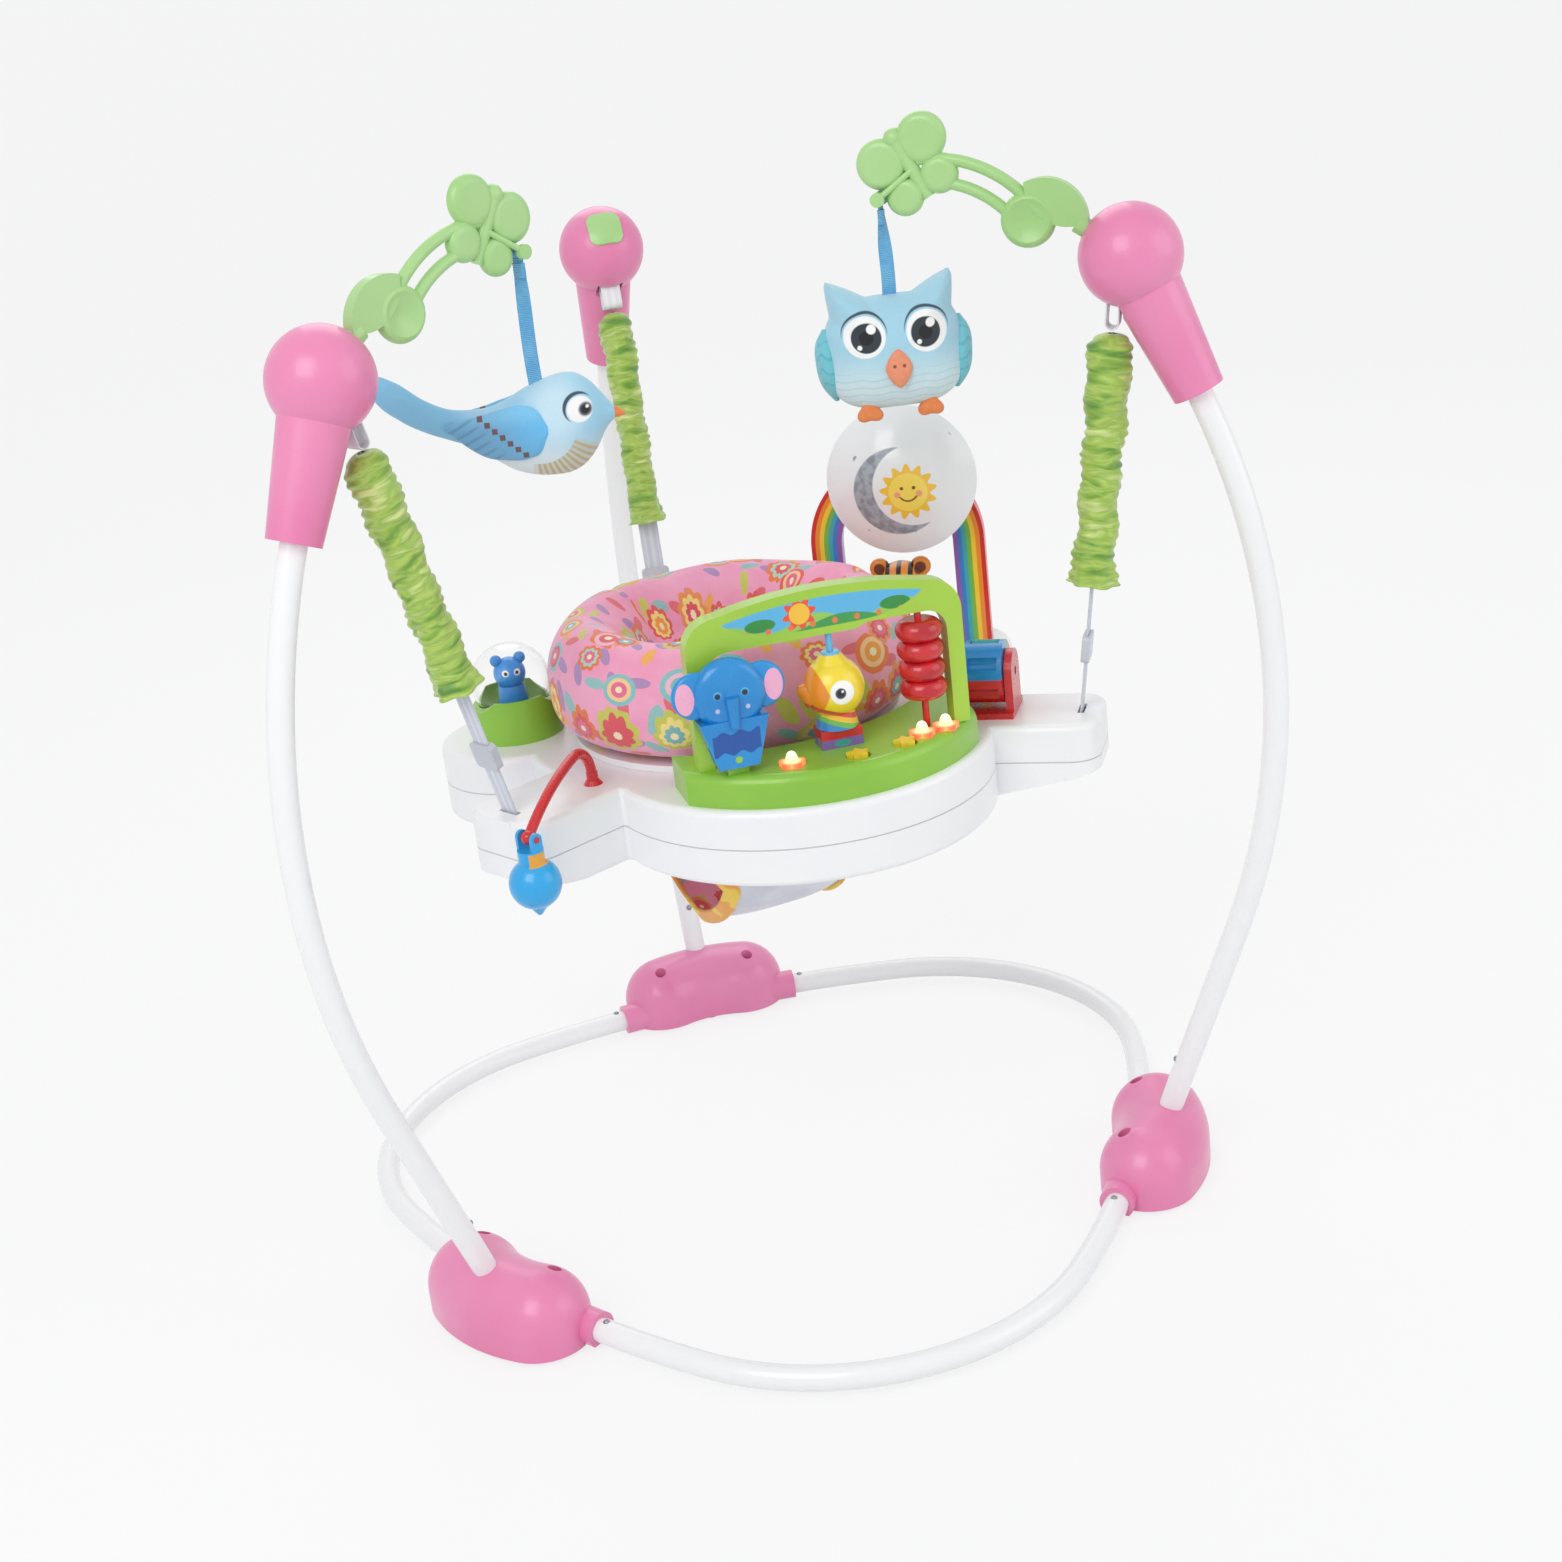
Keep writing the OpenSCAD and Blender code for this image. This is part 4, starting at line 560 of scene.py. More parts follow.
def rounded(width, height, count=16, power=4.0):
    """A rounded rectangle as a superellipse: cosine and sine, each raised to 2/power with its sign kept."""
    a = np.linspace(0, 2*np.pi, count, endpoint=False)
    shape = np.stack([np.cos(a), np.sin(a)], -1)
    return np.sign(shape)*np.abs(shape)**(2/power)*[width/2, height/2]


# %% [markdown]
# ## Springs
# Each strap hangs on a steel spring, which a cloth sleeve hides. A Screw modifier could wind it, but a helix is
# one line of cosine and sine, and its ends can then swell from the strap's line. When the tray bounces, the real
# springs and sleeves stretch; here they keep their shape at rest.

# %% Spring wire
SPRING_CURLS, SPRING_R, WIRE_D = 8, 0.0078, 0.0024


def spring_wire(leg):
    """A helix about the strap line whose radius swells from nothing at each end, skinned as a round wire."""
    t = np.linspace(0, 1, SPRING_CURLS*40 + 1)
    swell = SPRING_R*np.minimum(1, 2*SPRING_CURLS*np.minimum(t, 1 - t))
    a = 2*np.pi*SPRING_CURLS*t
    s = SPRING[0] + WIRE_D + t*(SPRING[1] - SPRING[0] - 2*WIRE_D)
    path = np.stack([swell*np.cos(a), swell*np.sin(a), -s], -1)
    spoke = np.stack([np.cos(a), np.sin(a), 0*a], -1)
    wire = sweep(path, spoke, rounded(WIRE_D, WIRE_D, 10, 2.0))
    obj = skin(f"spring_{leg}", settle(wire, strap_frame(leg)), around=True, caps=True, uv=(0.4, WIRE_D*3))
    obj.data.materials.append(zinc_steel)
    return obj


def stretch(obj, leg, ends):
    """Works out where a piece's two ends sit on its strap line, and writes the piece's place into its mesh."""
    start, end = (settle(np.array([[0, 0, -s]]), strap_frame(leg))[0] for s in ends)
    tuple(start)
    tuple(end)
    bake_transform(obj)


for leg in LEGS:
    spring = spring_wire(leg)
    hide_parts("springs")
    stretch(spring, leg, SPRING)
    print(spring.name, "reaches", round(SPRING[1] - SPRING[0], 3), "m")

# %% [markdown]
# ## Gathered sleeves
# A sleeve is a tube of printed satin, cut over a third longer than the room that it has at rest, so it ruches
# into soft rings that wander round it. Simulated cloth would have to fold against itself dozens of times on each
# sleeve, so its radius is a sum of waves instead. The finest gathers are smaller than this mesh and are left out.

# %% Sleeve cloth
def satin_leaf(place):
    """Lime satin printed with brushed leaves in several greens, which run into each other, in crosswise streaks whose
    darkest greens are partly painted fold shade and whose palest is a painted sheen highlight, and a fine weave.
    """
    u, v, _ = parts(place.out("UV"))
    # The streaks run crosswise, like the folds, so they carry painted fold shade and painted sheen as well as the
    # leaf print
    slanted = place.node("ShaderNodeMapping", {}, {"Vector": place.out("UV"), "Scale": (66.0, 20.0, 1.0),
                                                   "Rotation": (0, 0, 0.35)})
    fold_light_and_leaf_print = place.node("ShaderNodeTexNoise", {"noise_dimensions": "2D"},
                       {"Vector": slanted, "Scale": 1.0, "Detail": 3.0, "Distortion": 0.25})
    # From dark to pale: the darkest green is the print's dark leaves and painted fold shade, the middle greens are
    # print, and the palest is a painted sheen highlight
    stops = [(0.28, ink(92, 146, 48)), (0.4, ink(142, 184, 66)), (0.5, ink(178, 206, 96)), (0.6, ink(152, 190, 74)),
             (0.74, ink(214, 228, 146))]
    thread = sine(v*5200.0)*0.5 + sine(u*5200.0)*0.5
    return {
        "Base Color": place.node("ShaderNodeValToRGB", {"stops": stops}, {0: fold_light_and_leaf_print}),
        "Roughness": 0.36 + 0.08*thread,
        "height": (0.12*thread + 1.2*noise(place, 40.0, 1.0), 0.0002),
    }


green_cloth = finish("green_cloth", satin_leaf, 0.4, {"Sheen Weight": 0.35})
# The sleeve mesh: its rows along the sleeve and its sides round it
SLEEVE_ROWS, SLEEVE_SIDES = 300, 72
# A sleeve lies a little flat: its widths as shares of its radius
SLEEVE_OVAL = (1.12, 0.98)
SATIN_T = 0.0006


def sleeve_radius(t, a, shift):
    """Radius of the sleeve at share t of its length and angle a: a slim tube drawn shut in a dome at the top, fuller
    in its upper half and flared at the hem, plus broad folds that climb round it, crosswise puckers between
    them, and slanting creases. Below the dome it never comes closer than the spring allows."""
    dome = 0.17 + 0.83*np.sqrt(1 - (1 - np.clip(t/0.07, 0, 1))**2)
    full = 0.0148 + 0.0022*np.clip(1 - t/0.45, 0, 1)**0.7
    ring = 0.0011*np.sin(2*np.pi*5*t + a + 0.8*np.sin(2*a + shift) + shift)
    depth = 0.0010*(0.65 + 0.35*np.sin(2*a + 13*t + shift))
    ruche = depth*np.sin(2*np.pi*24*t + 1.6*np.sin(a - 2*shift) + 0.9*np.sin(2*a + 9*t))
    crease = 0.0005*np.sin(3*a + 16*t + shift) + 0.0002*np.sin(5*a - 31*t)
    hem = 0.004*t**14 + 0.0020*np.sin(6*a + shift)*t**16
    return dome*np.maximum(full + ring + ruche + crease + hem, 0.0118)


def sleeve_points(shift):
    """The sleeve round its strap line: rows at even steps that also wander up and down, and the radius above."""
    t, a = np.meshgrid(np.linspace(0, 1, SLEEVE_ROWS), np.linspace(0, 2*np.pi, SLEEVE_SIDES, endpoint=False),
                       indexing="ij")
    r = sleeve_radius(t, a, shift)
    s = SLEEVE[0] + t*(SLEEVE[1] - SLEEVE[0]) + 0.0011*np.sin(2*np.pi*9*t + 2.0*np.sin(2*a))*np.sin(np.pi*t)
    return np.stack([r*np.cos(a)*SLEEVE_OVAL[0], r*np.sin(a)*SLEEVE_OVAL[1], -s], -1)


def give_wall(obj, thickness):
    """Gives a cloth its thickness, half of it on each side."""
    wall = obj.modifiers.new("wall", "SOLIDIFY")
    wall.thickness, wall.offset = thickness, 0.0
    return wall


def cloth_area(obj):
    """Area of a cloth's mesh, before it gets its thickness."""
    return round(sum(p.area for p in obj.data.polygons), 4)


for order, leg in enumerate(LEGS):
    sleeve = skin(f"sleeve_{leg}", settle(sleeve_points(1.7*order), strap_frame(leg)), around=True, uv=(0.33, 0.12))
    sleeve.data.materials.append(green_cloth)
    give_wall(sleeve, SATIN_T)
    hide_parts("sleeves")
    stretch(sleeve, leg, SLEEVE)
    print(sleeve.name, "cloth", cloth_area(sleeve), "m2")

# %% [markdown]
# ## Webbing
# A loop of webbing hangs each spring on its pin, and a strap runs from the spring into the tray, where a folded
# stop holds it. A curve with a bevel would make a band too, but its UV map wouldn't be in metres, and the weave
# needs that. So a rounded strip is carried along each path.

# %% Webbing straps
def woven(name, low, high):
    """Woven webbing: ribs along the band in two tones, crossed by a fine pick."""
    def paint(place):
        u, v, _ = parts(place.out("UV"))
        ribs = sine(v*2600.0)
        pick = sine(u*3600.0 + 2.0*ribs)
        return {"Base Color": mix(rise(ribs, -0.6, 0.8), low, high), "Roughness": 0.7 + 0.08*pick,
                "height": (ribs + 0.6*pick, 0.00006)}
    return finish(name, paint, 0.7, {"Sheen Weight": 0.2})


webbing = woven("webbing", ink(208, 213, 225), ink(224, 228, 237))
white_webbing = woven("white_webbing", ink(236, 238, 242), ink(246, 247, 250))


def band(name, path, width_way, width, thickness, place):
    """A flat woven band carried along a path, its width along width_way."""
    spoke = np.broadcast_to(np.array(width_way, float), path.shape)
    run = np.linalg.norm(np.diff(path, axis=0), axis=1).sum()
    grid = settle(sweep(path, spoke, rounded(width, thickness, 20, 6.0)), place)
    return skin(name, grid, around=True, caps=True, uv=(run, 2*width))


def loop_path(top_r, low_s):
    """A closed loop seen from its side: round the pin, down one side, round the spring's eye and up the other."""
    a = np.linspace(0, np.pi, 40)
    upper = np.stack([top_r*np.cos(a), 0*a, top_r*np.sin(a)], -1)
    lower = np.stack([-top_r*np.cos(a), 0*a, -low_s - top_r*np.sin(a)], -1)
    return np.concatenate([upper, lower, upper[:1]])


# Webbing: its width, the thickness of loops and straps, and the loop's bend and drop
WEB_W, LOOP_T, STRAP_T = 0.020, 0.0017, 0.0018
LOOP_BEND, LOOP_DROP = 0.0052, 0.0392
# A strap begins just under its spring and ends past the tray's top, in a stop of this half length and section
SPRING_GAP, PAST_TRAY = 0.0004, 0.007
STOP_HALF, STOP_SECTION, STOP_DROP = 0.0138, (0.009, 0.007), 0.0084
ALONG_PIN, ACROSS_PIN = (0, 1, 0), (1, 0, 0)
for leg in LEGS:
    place = strap_frame(leg)
    loop = band(f"loop_{leg}", loop_path(LOOP_BEND, LOOP_DROP), ALONG_PIN, WEB_W, LOOP_T, place)
    line = np.linspace(SPRING[1] + SPRING_GAP, strap_length(leg) + PAST_TRAY, 60)
    strap = band(f"strap_{leg}", np.stack([0*line, 0*line, -line], -1), ALONG_PIN, WEB_W, STRAP_T, place)
    fold = np.linspace(-STOP_HALF, STOP_HALF, 12)
    stop_path = np.stack([0*fold, fold, 0*fold - (strap_length(leg) + STOP_DROP)], -1)
    stop = band(f"strap_stop_{leg}", stop_path, ACROSS_PIN, *STOP_SECTION, place)
    for piece, node, body in ((loop, "webbing_loops", "frame"), (strap, "straps", "tray"), (stop, "straps", "tray")):
        piece.data.materials.append(white_webbing if piece is loop else webbing)
        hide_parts(node)
        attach(piece, body)
print("straps and loops made")

# %% [markdown]
# ## The seat's print
# The seat's rim and sling are pink cotton with a bright scattered print. Here it is a generic one: a cell texture
# gives each motif a cell of its own, and distance from the cell's middle draws rings, petals or a leaf. It reads
# the UV map in metres, so the print keeps its scale on every piece that is cut from it.

# %% Seat print
def seat_print(place):
    """Pink cotton scattered with ringed rounds, petalled rounds and small leaves, on the piece's own UV in metres."""
    uv = place.out("UV")
    u, v, _ = parts(uv)

    def motifs(scale, shift):
        """Place within the nearest motif's cell, and three random numbers for that motif."""
        spot = place.node("ShaderNodeMapping", {}, {"Vector": uv, "Location": (shift, shift*0.7, 0)})
        cell = place.node("ShaderNodeTexVoronoi", {"voronoi_dimensions": "2D"},
                          {"Vector": spot, "Scale": scale, "Randomness": 0.7})
        x, y, _ = parts(place.node("ShaderNodeVectorMath", {"operation": "SUBTRACT"},
                                   {0: spot, 1: cell.out("Position")}))
        return x, y, parts(cell.out("Color"))

    def palette(pick, *colours):
        """One of these colours, chosen by a random number."""
        stops = [(k/len(colours), c) for k, c in enumerate(colours)]
        return place.node("ShaderNodeValToRGB", {"stops": stops, "steps": "CONSTANT"}, {0: pick})

    x, y, (one, two, three) = motifs(22.0, 0.13)
    angle = x.math("ARCTAN2", y, x)
    petals = rise(two, 0.45, 0.5)
    r = length(x, y)/(1.0 - 0.2*petals*(1.0 - size(sine(angle*4.5))))*(1.0 + 0.5*three)
    warm = palette(one, ink(240, 150, 84), ink(232, 92, 92), ink(206, 204, 90), ink(138, 196, 200), ink(238, 122, 60))
    ring = palette(two, ink(250, 206, 150), ink(246, 188, 210), ink(224, 86, 96), ink(250, 226, 140),
                   ink(178, 214, 196))
    heart = palette(three, ink(226, 84, 100), ink(244, 160, 60), ink(128, 186, 190), ink(236, 110, 150))
    ground = mix(rise(noise(place, 30.0), 0.35, 0.7), ink(249, 172, 204), ink(246, 158, 194))
    x2, y2, (four, five, six) = motifs(44.0, 0.71)
    tilt = four*6.28
    lean = size(x2*sine(tilt) + y2*sine(tilt + 1.571))
    span = x2*sine(tilt + 1.571) - y2*sine(tilt)
    leaf = length(span*0.5, lean*1.1)
    leaves = palette(five, ink(206, 206, 96), ink(150, 196, 196), ink(178, 140, 190), ink(232, 110, 120),
                     ink(245, 176, 90))
    shown = rise(six, 0.3, 0.32)*rise(leaf, 0.0056, 0.0048)
    body = mix(shown, ground, leaves)
    for outer, inner, colour in ((0.0206, 0.0198, warm), (0.0152, 0.0144, ring), (0.0102, 0.0096, heart),
                                 (0.0044, 0.0038, ink(252, 236, 196))):
        body = mix(rise(r, outer, inner), body, colour)
    thread = sine(u*5600.0) + sine(v*5600.0)
    return {"Base Color": body, "Roughness": 0.62 + 0.04*thread,
            "height": (0.1*thread + 5.0*noise(place, 90.0, 4.0), 0.0002)}


pink_cloth = finish("pink_cloth", seat_print, 0.62, {"Sheen Weight": 0.3})
print("seat print ready")

# %% [markdown]
# ## The padded rim
# The seat's rim is a fat stuffed ring. It is made as a ring with its seams already drawn in, then Blender's cloth
# blows it up from inside for twenty frames, so the cover swells between the seams as stuffing does. Inflating a
# plain ring alone would lose the low funnel on the child's side, so the swelling is kept to a few millimetres.

# %% Seat rim and its stuffing
# The rim's middle line, its height above the floor, and its section's width and height
RING_R, RING_Z, RING_W, RING_H = 0.128, 0.5216, 0.088, 0.110
SEAMS = np.radians([128.0, 8.0, 248.0])
TUCKED_SIDE = np.radians([212.0])
# Room left for the stuffing to swell into, its greatest swelling, and the cloth's pressure and run
RIM_INSET, RIM_SWELL, RIM_PRESSURE, PUFF_FRAMES = 0.004, 0.0055, 4.0, 20


def turn_gap(a, marks):
    """The angle between a and the nearest of some marks on a circle."""
    return np.abs((a[..., None] - marks + np.pi) % (2*np.pi) - np.pi).min(-1)


def seat_rim(u, v, inset):
    """A padded ring: u runs round the seat, v round its section. The side towards the child is cut lower and reaches
    further in, as a soft funnel. Seams pull the cover in along a few sections, tucks run up from the funnel's lip,
    and the inner lower side is puckered where the cover is gathered under the rim."""
    pull = np.exp(-(turn_gap(u, SEAMS)/0.05)**2)
    inward, upward = np.clip(-np.cos(v), 0, 1), np.clip(np.sin(v), 0, 1)
    inner = inward*np.clip(0.35 - np.sin(v), 0, 1)
    pucker = 0.0022*inner*np.sin(26*u + 2.2*np.sin(3*u)) + 0.0012*inner*np.sin(47*u)
    near = np.exp(-(turn_gap(u, TUCKED_SIDE)/0.7)**2)
    tuck = (0.0016 + 0.0052*near)*inward**3*np.sin(np.pi*np.clip(0.2 + v/np.pi, 0, 1))
    tuck = -tuck*np.abs(np.sin(9.5*u + 1.4*np.sin(2*u)))**6
    swell = 1 + 0.03*np.sin(6*u)*upward - 0.07*pull
    lift = np.where(np.sin(v) < 0, -np.abs(np.sin(v))**0.6, upward**(1 + 1.6*inward))
    reach = RING_W/2 - inset + 0.010*inward**2
    r = RING_R + reach*np.cos(v)*(1 - 0.08*np.sin(v))*(1 - 0.07*pull) + pucker - tuck
    z = RING_Z + (RING_H/2 - inset)*lift*swell + pucker + 1.6*tuck
    return np.stack([r*np.cos(u), r*np.sin(u) + AXIS_Y, z], -1)


def puff(obj, held, cap, pressure):
    """Blows a closed mesh up with Blender's cloth, holding the given points, and moves no point further than cap. The
    result is written into the mesh, and no modifier stays."""
    group = obj.vertex_groups.new(name="held")
    group.add(np.flatnonzero(held).tolist(), 1.0, "REPLACE")
    cloth = obj.modifiers.new("stuffing", "CLOTH")
    cloth.settings.vertex_group_mass = "held"
    cloth.settings.use_pressure = True
    cloth.settings.uniform_pressure_force = pressure
    cloth.settings.effector_weights.gravity = 0
    cloth.point_cache.frame_end = PUFF_FRAMES
    start = np.empty(len(obj.data.vertices)*3)
    obj.data.vertices.foreach_get("co", start)
    for step in range(1, PUFF_FRAMES + 1):
        scene.frame_set(step)
    blown = obj.evaluated_get(bpy.context.evaluated_depsgraph_get()).data
    end = np.empty_like(start)
    blown.vertices.foreach_get("co", end)
    shift = (end - start).reshape(-1, 3)
    far = np.linalg.norm(shift, axis=1, keepdims=True)
    shift *= np.minimum(1, cap/np.maximum(far, 1e-9))
    obj.modifiers.remove(cloth)
    obj.vertex_groups.remove(group)
    obj.data.vertices.foreach_set("co", start + shift.reshape(-1))
    obj.data.update()
    scene.frame_set(1)
    print(obj.name, "swelled by up to", round(float(far.max())*1000, 1), "mm, capped at", cap*1000)


u, v = np.meshgrid(np.linspace(0, 2*np.pi, 180, endpoint=False) + SEAMS[0],
                   np.linspace(0, 2*np.pi, 56, endpoint=False) - np.pi/2, indexing="ij")
rim = skin("seat_rim", seat_rim(u, v, RIM_INSET), around=True, along=True, uv=(0.804, 0.31))
rim.data.materials.append(pink_cloth)
under = np.sin(v).reshape(-1) < -0.75
seam = (turn_gap(u, SEAMS) < 0.018).reshape(-1)
puff(rim, under | seam, RIM_SWELL, RIM_PRESSURE)
soft = rim.modifiers.new("soft", "SUBSURF")
soft.levels = soft.render_levels = 1
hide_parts("bolster")
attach(rim, "seat")

# %% [markdown]
# ## The sling
# Under the rim hangs a cloth sling with two leg openings. It is one strip from the front rim, under the crotch,
# to the back rim. Its ends are upright walls that follow the ring's round, and between them it turns under the
# seat. It is widest at the rims and narrow between the legs, so the openings come from its edges. Hanging it by
# simulation would leave their outline to chance.

# %% Sling cloth
# The sling's radius, the height where its turn begins, half its width at the crotch, and its walls' height
SLING_R, SLING_Z, CROTCH, SLING_WALL = 0.1185, 0.390, 0.062, 0.070
SEAT_TURN, COTTON_T = 10.0, 0.0012


def sling_edge(s):
    """Half width of the strip at share s of its run: the full half circle at the rims, narrow at the crotch."""
    d = np.abs(2*s - 1)
    blend = np.clip((d - 0.48)/0.26, 0, 1)
    blend = blend*blend*(3 - 2*blend)
    return CROTCH + (SLING_R - CROTCH)*blend


def sling_point(s, x):
    """A point of the sling: down the front at a fixed x, round under the seat, and up the back. The turn is a half
    circle drawn in towards the crotch, and the section across it is filled out towards a square."""
    arc = np.pi*SLING_R
    run = s*(2*SLING_WALL + arc)
    turn = np.clip((run - SLING_WALL)/SLING_R, 0, np.pi)
    square = 2 + 1.2*np.sin(turn)**2
    depth = SLING_R*np.maximum(1 - (np.abs(x)/SLING_R)**square, 0)**(1/square)
    z = SLING_Z - depth*np.sin(turn)**0.8
    z = z + np.clip(SLING_WALL - run, 0, None) + np.clip(run - SLING_WALL - arc, 0, None)
    return np.stack([x, -depth*np.sign(np.cos(turn))*np.abs(np.cos(turn))**1.4, z], -1)


seat_place = (np.array([0, AXIS_Y, 0]), turned("z", SEAT_TURN))
s, w = np.meshgrid(np.linspace(0, 1, 140), np.linspace(-1, 1, 61), indexing="ij")
crease = 0.0012*np.sin(19*s + 6*w*w)*np.sin(np.pi*s)
# Edge points stay just inside the full radius, where the section's slope has no end
grid = sling_point(s, w*sling_edge(s)*0.9999)
grid = grid*(1 + crease[..., None]*np.array([4, 4, 0]))


def sling_sides(place):
    """Plain grey-white cotton with a fine weave and soft creases."""
    x, _, z = parts(place)
    thread = sine(x*4800.0) + sine(z*4800.0)
    cloud = noise(place, 24.0, 3.0)
    return {"Base Color": mix(rise(cloud, 0.3, 0.7), ink(226, 229, 236), ink(210, 214, 224)),
            "Roughness": 0.75 + 0.05*thread, "height": (0.1*thread + 4.0*noise(place, 120.0, 3.0), 0.0002)}


plain_cloth = finish("plain_cloth", sling_sides, 0.75, {"Sheen Weight": 0.2})
sling = skin("sling_cloth", settle(grid, seat_place), uv=(0.51, 0.24))
sling.data.materials.append(pink_cloth)
sling.data.materials.append(plain_cloth)
give_wall(sling, COTTON_T).material_offset = 1
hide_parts("sling")
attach(sling, "seat")
print("sling cloth", cloth_area(sling), "m2")

# %% [markdown]
# ## Binding round the leg openings
# A bright tape is folded over each cut edge of the sling. The edges are already known as a path, so a rounded
# strip is carried along it, with its flat side facing away from the seat's axis.

# %% Leg bindings
def binding_weave(place):
    """Yellow bias binding printed with orange and pink patches, with fine stitched ribs."""
    u, v, _ = parts(place.out("UV"))
    rib = sine(u*2400.0)
    tone = mix(rise(noise(place, 34.0), 0.44, 0.5), ink(248, 212, 84), ink(244, 170, 74))
    tone = mix(rise(noise(place, 52.0, 3.0), 0.64, 0.68), tone, ink(240, 128, 140))
    return {"Base Color": tone, "Roughness": 0.65 + 0.06*rib, "height": (rib + sine(v*1500.0), 0.00006)}


binding = finish("binding", binding_weave, 0.65, {"Sheen Weight": 0.2})
# The tape's thickness and width, and the share of the sling's run that it follows
TAPE_T, TAPE_W, TAPE_RUN = 0.0045, 0.016, (0.14, 0.86)
for side, sign in (("left", -1.0), ("right", 1.0)):
    s = np.linspace(*TAPE_RUN, 160)
    edge = sling_point(s, sign*sling_edge(s)*0.9995)
    outwards = edge*np.array([1, 1, 0]) + [0, 0, -0.03]
    tape = settle(sweep(edge, outwards, rounded(TAPE_T, TAPE_W, 14, 4.0)), seat_place)
    tape = skin(f"leg_binding_{side}", tape, around=True, caps=True, uv=(0.4, 0.03))
    tape.data.materials.append(binding)
    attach(tape, "seat")
    print(tape.name, "runs", round(np.linalg.norm(np.diff(edge, axis=0), axis=1).sum(), 3), "m")

# %% [markdown]
# ## Stuffed bird and owl
# Two soft toys hang from the green bars on ribbons. Each is a stuffed bag of short plush, so each is a smooth
# closed form: the bird is carried through oval stations along its back, and the owl is a pillow blown up from its
# front outline. Eyes and feather marks are printed on the cloth, so they are painted by the toy's own
# coordinates.

# %% Stuffed forms
BIRD_DROP, OWL_DROP = 0.142, 0.126
BIRD = (hook_place("left") + [0, 0, -BIRD_DROP], turned("z", TOY_TURN))
OWL = (hook_place("right") + [0, 0, -OWL_DROP], turned("z", TOY_TURN))


def ovals(stations, rows, sides):
    """A form through oval stations in millimetres, of position, height, half height and half width, along X, with a
    smooth curve through each column and rows crowded towards the ends."""
    stations = np.array(stations, float)/1000
    at = stations[0, 0] + np.ptp(stations[:, 0])*(1 - np.cos(np.linspace(0, np.pi, rows)))/2
    middle, tall, wide = smooth_through(stations[:, 0], stations[:, 1:], at).T[..., None]
    a = np.linspace(0, 2*np.pi, sides, endpoint=False)
    tall, wide = np.maximum(tall, 0.0003), np.maximum(wide, 0.0003)
    return np.stack(np.broadcast_arrays(at[:, None], wide*np.cos(a), middle + tall*np.sin(a)), -1)


def pillow(outline, depth, rows=60, sides=144):
    """A stuffed form from its front outline, a radius at each angle: from the front's middle out to the rim and
    back to the rear's middle, with a depth that falls off as the three-quarter power of the cosine."""
    a = np.linspace(0, 2*np.pi, sides, endpoint=False)
    p = np.linspace(0.02, np.pi - 0.02, rows)[:, None]
    out = np.sin(p)*outline(a)
    y = -depth*np.sign(np.cos(p))*np.abs(np.cos(p))**0.75
    return np.stack(np.broadcast_arrays(out*np.cos(a), y, out*np.sin(a)), -1)


def toy_piece(name, grid, place, material, body):
    """Skins a toy's piece, gives it its cloth, and lets it ride on the toy."""
    obj = skin(name, settle(grid, place), around=True, caps=True, uv=(0.2, 0.2))
    obj.data.materials.append(material)
    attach(obj, body)
    return obj


def plush(place):
    """Height of short plush: a fine fibre noise over broad soft lumps."""
    return 0.6*noise(place, 900.0, 2.0) + 3.0*noise(place, 70.0, 3.0)


def spot(x, y, at, radius, soft=0.0006):
    """A round spot of ink: 1 inside the radius and 0 outside."""
    return rise(length(x - at[0], y - at[1]), radius + soft, radius - soft)


print("bird at", np.round(BIRD[0], 3), "owl at", np.round(OWL[0], 3))

# %% [markdown]
# ## The bird
# The bird is sewn from sky-blue plush, with two flat stuffed wings and a felt beak. Its stations follow the back
# from tail to head, which sculpting would do by eye. The cover's colours are masks in the bird's own frame, so
# they swing with it.

# %% Bird cloth
def bird_print(place):
    """Sky-blue back fading to a pale belly, a bluer tail, printed eyes under a brow, and tan strokes on the
    breast."""
    x, _, z = parts(moved(place, tuple(BIRD[0]), TOY_TURN))
    body = mix(rise(z + 0.3*x, -0.034, 0.02), ink(226, 236, 243), ink(158, 211, 238))
    body = mix(rise(x, -0.03, -0.08), body, ink(134, 196, 232))
    body = mix(rise(z, 0.004, -0.012)*rise(x, -0.03, -0.07), body, ink(112, 170, 210))
    body = mix(spot(x, z, (0.014, 0.018), 0.022, 0.012)*0.8, body, ink(208, 233, 245))
    angle = x.math("ARCTAN2", z - 0.012, x + 0.004)
    patch = rise(length(x + 0.002, z - 0.006), 0.0315, 0.033)*rise(angle, -1.75, -1.6)*rise(angle, -0.5, -0.62)
    stroke = 0.45 + 0.55*rise(sine(angle*58.0), -0.3, 0.4)
    body = mix(patch*stroke, body, ink(196, 180, 140))
    brow = spot(x, z, (0.0325, 0.0165), 0.0122) - spot(x, z, (0.0345, 0.0145), 0.0118)
    body = mix(spot(x, z, (0.0342, 0.0148), 0.0102), body, ink(250, 250, 250))
    body = mix(most(brow, 0.0), body, ink(60, 76, 96))
    body = mix(spot(x, z, (0.0385, 0.0143), 0.0054, 0.0012), body, ink(88, 92, 104))
    body = mix(spot(x, z, (0.0385, 0.0143), 0.0036), body, ink(20, 22, 28))
    body = mix(spot(x, z, (0.0402, 0.0162), 0.0013), body, ink(255, 255, 255))
    return {"Base Color": body, "Roughness": 0.75, "height": (plush(place), 0.0005)}


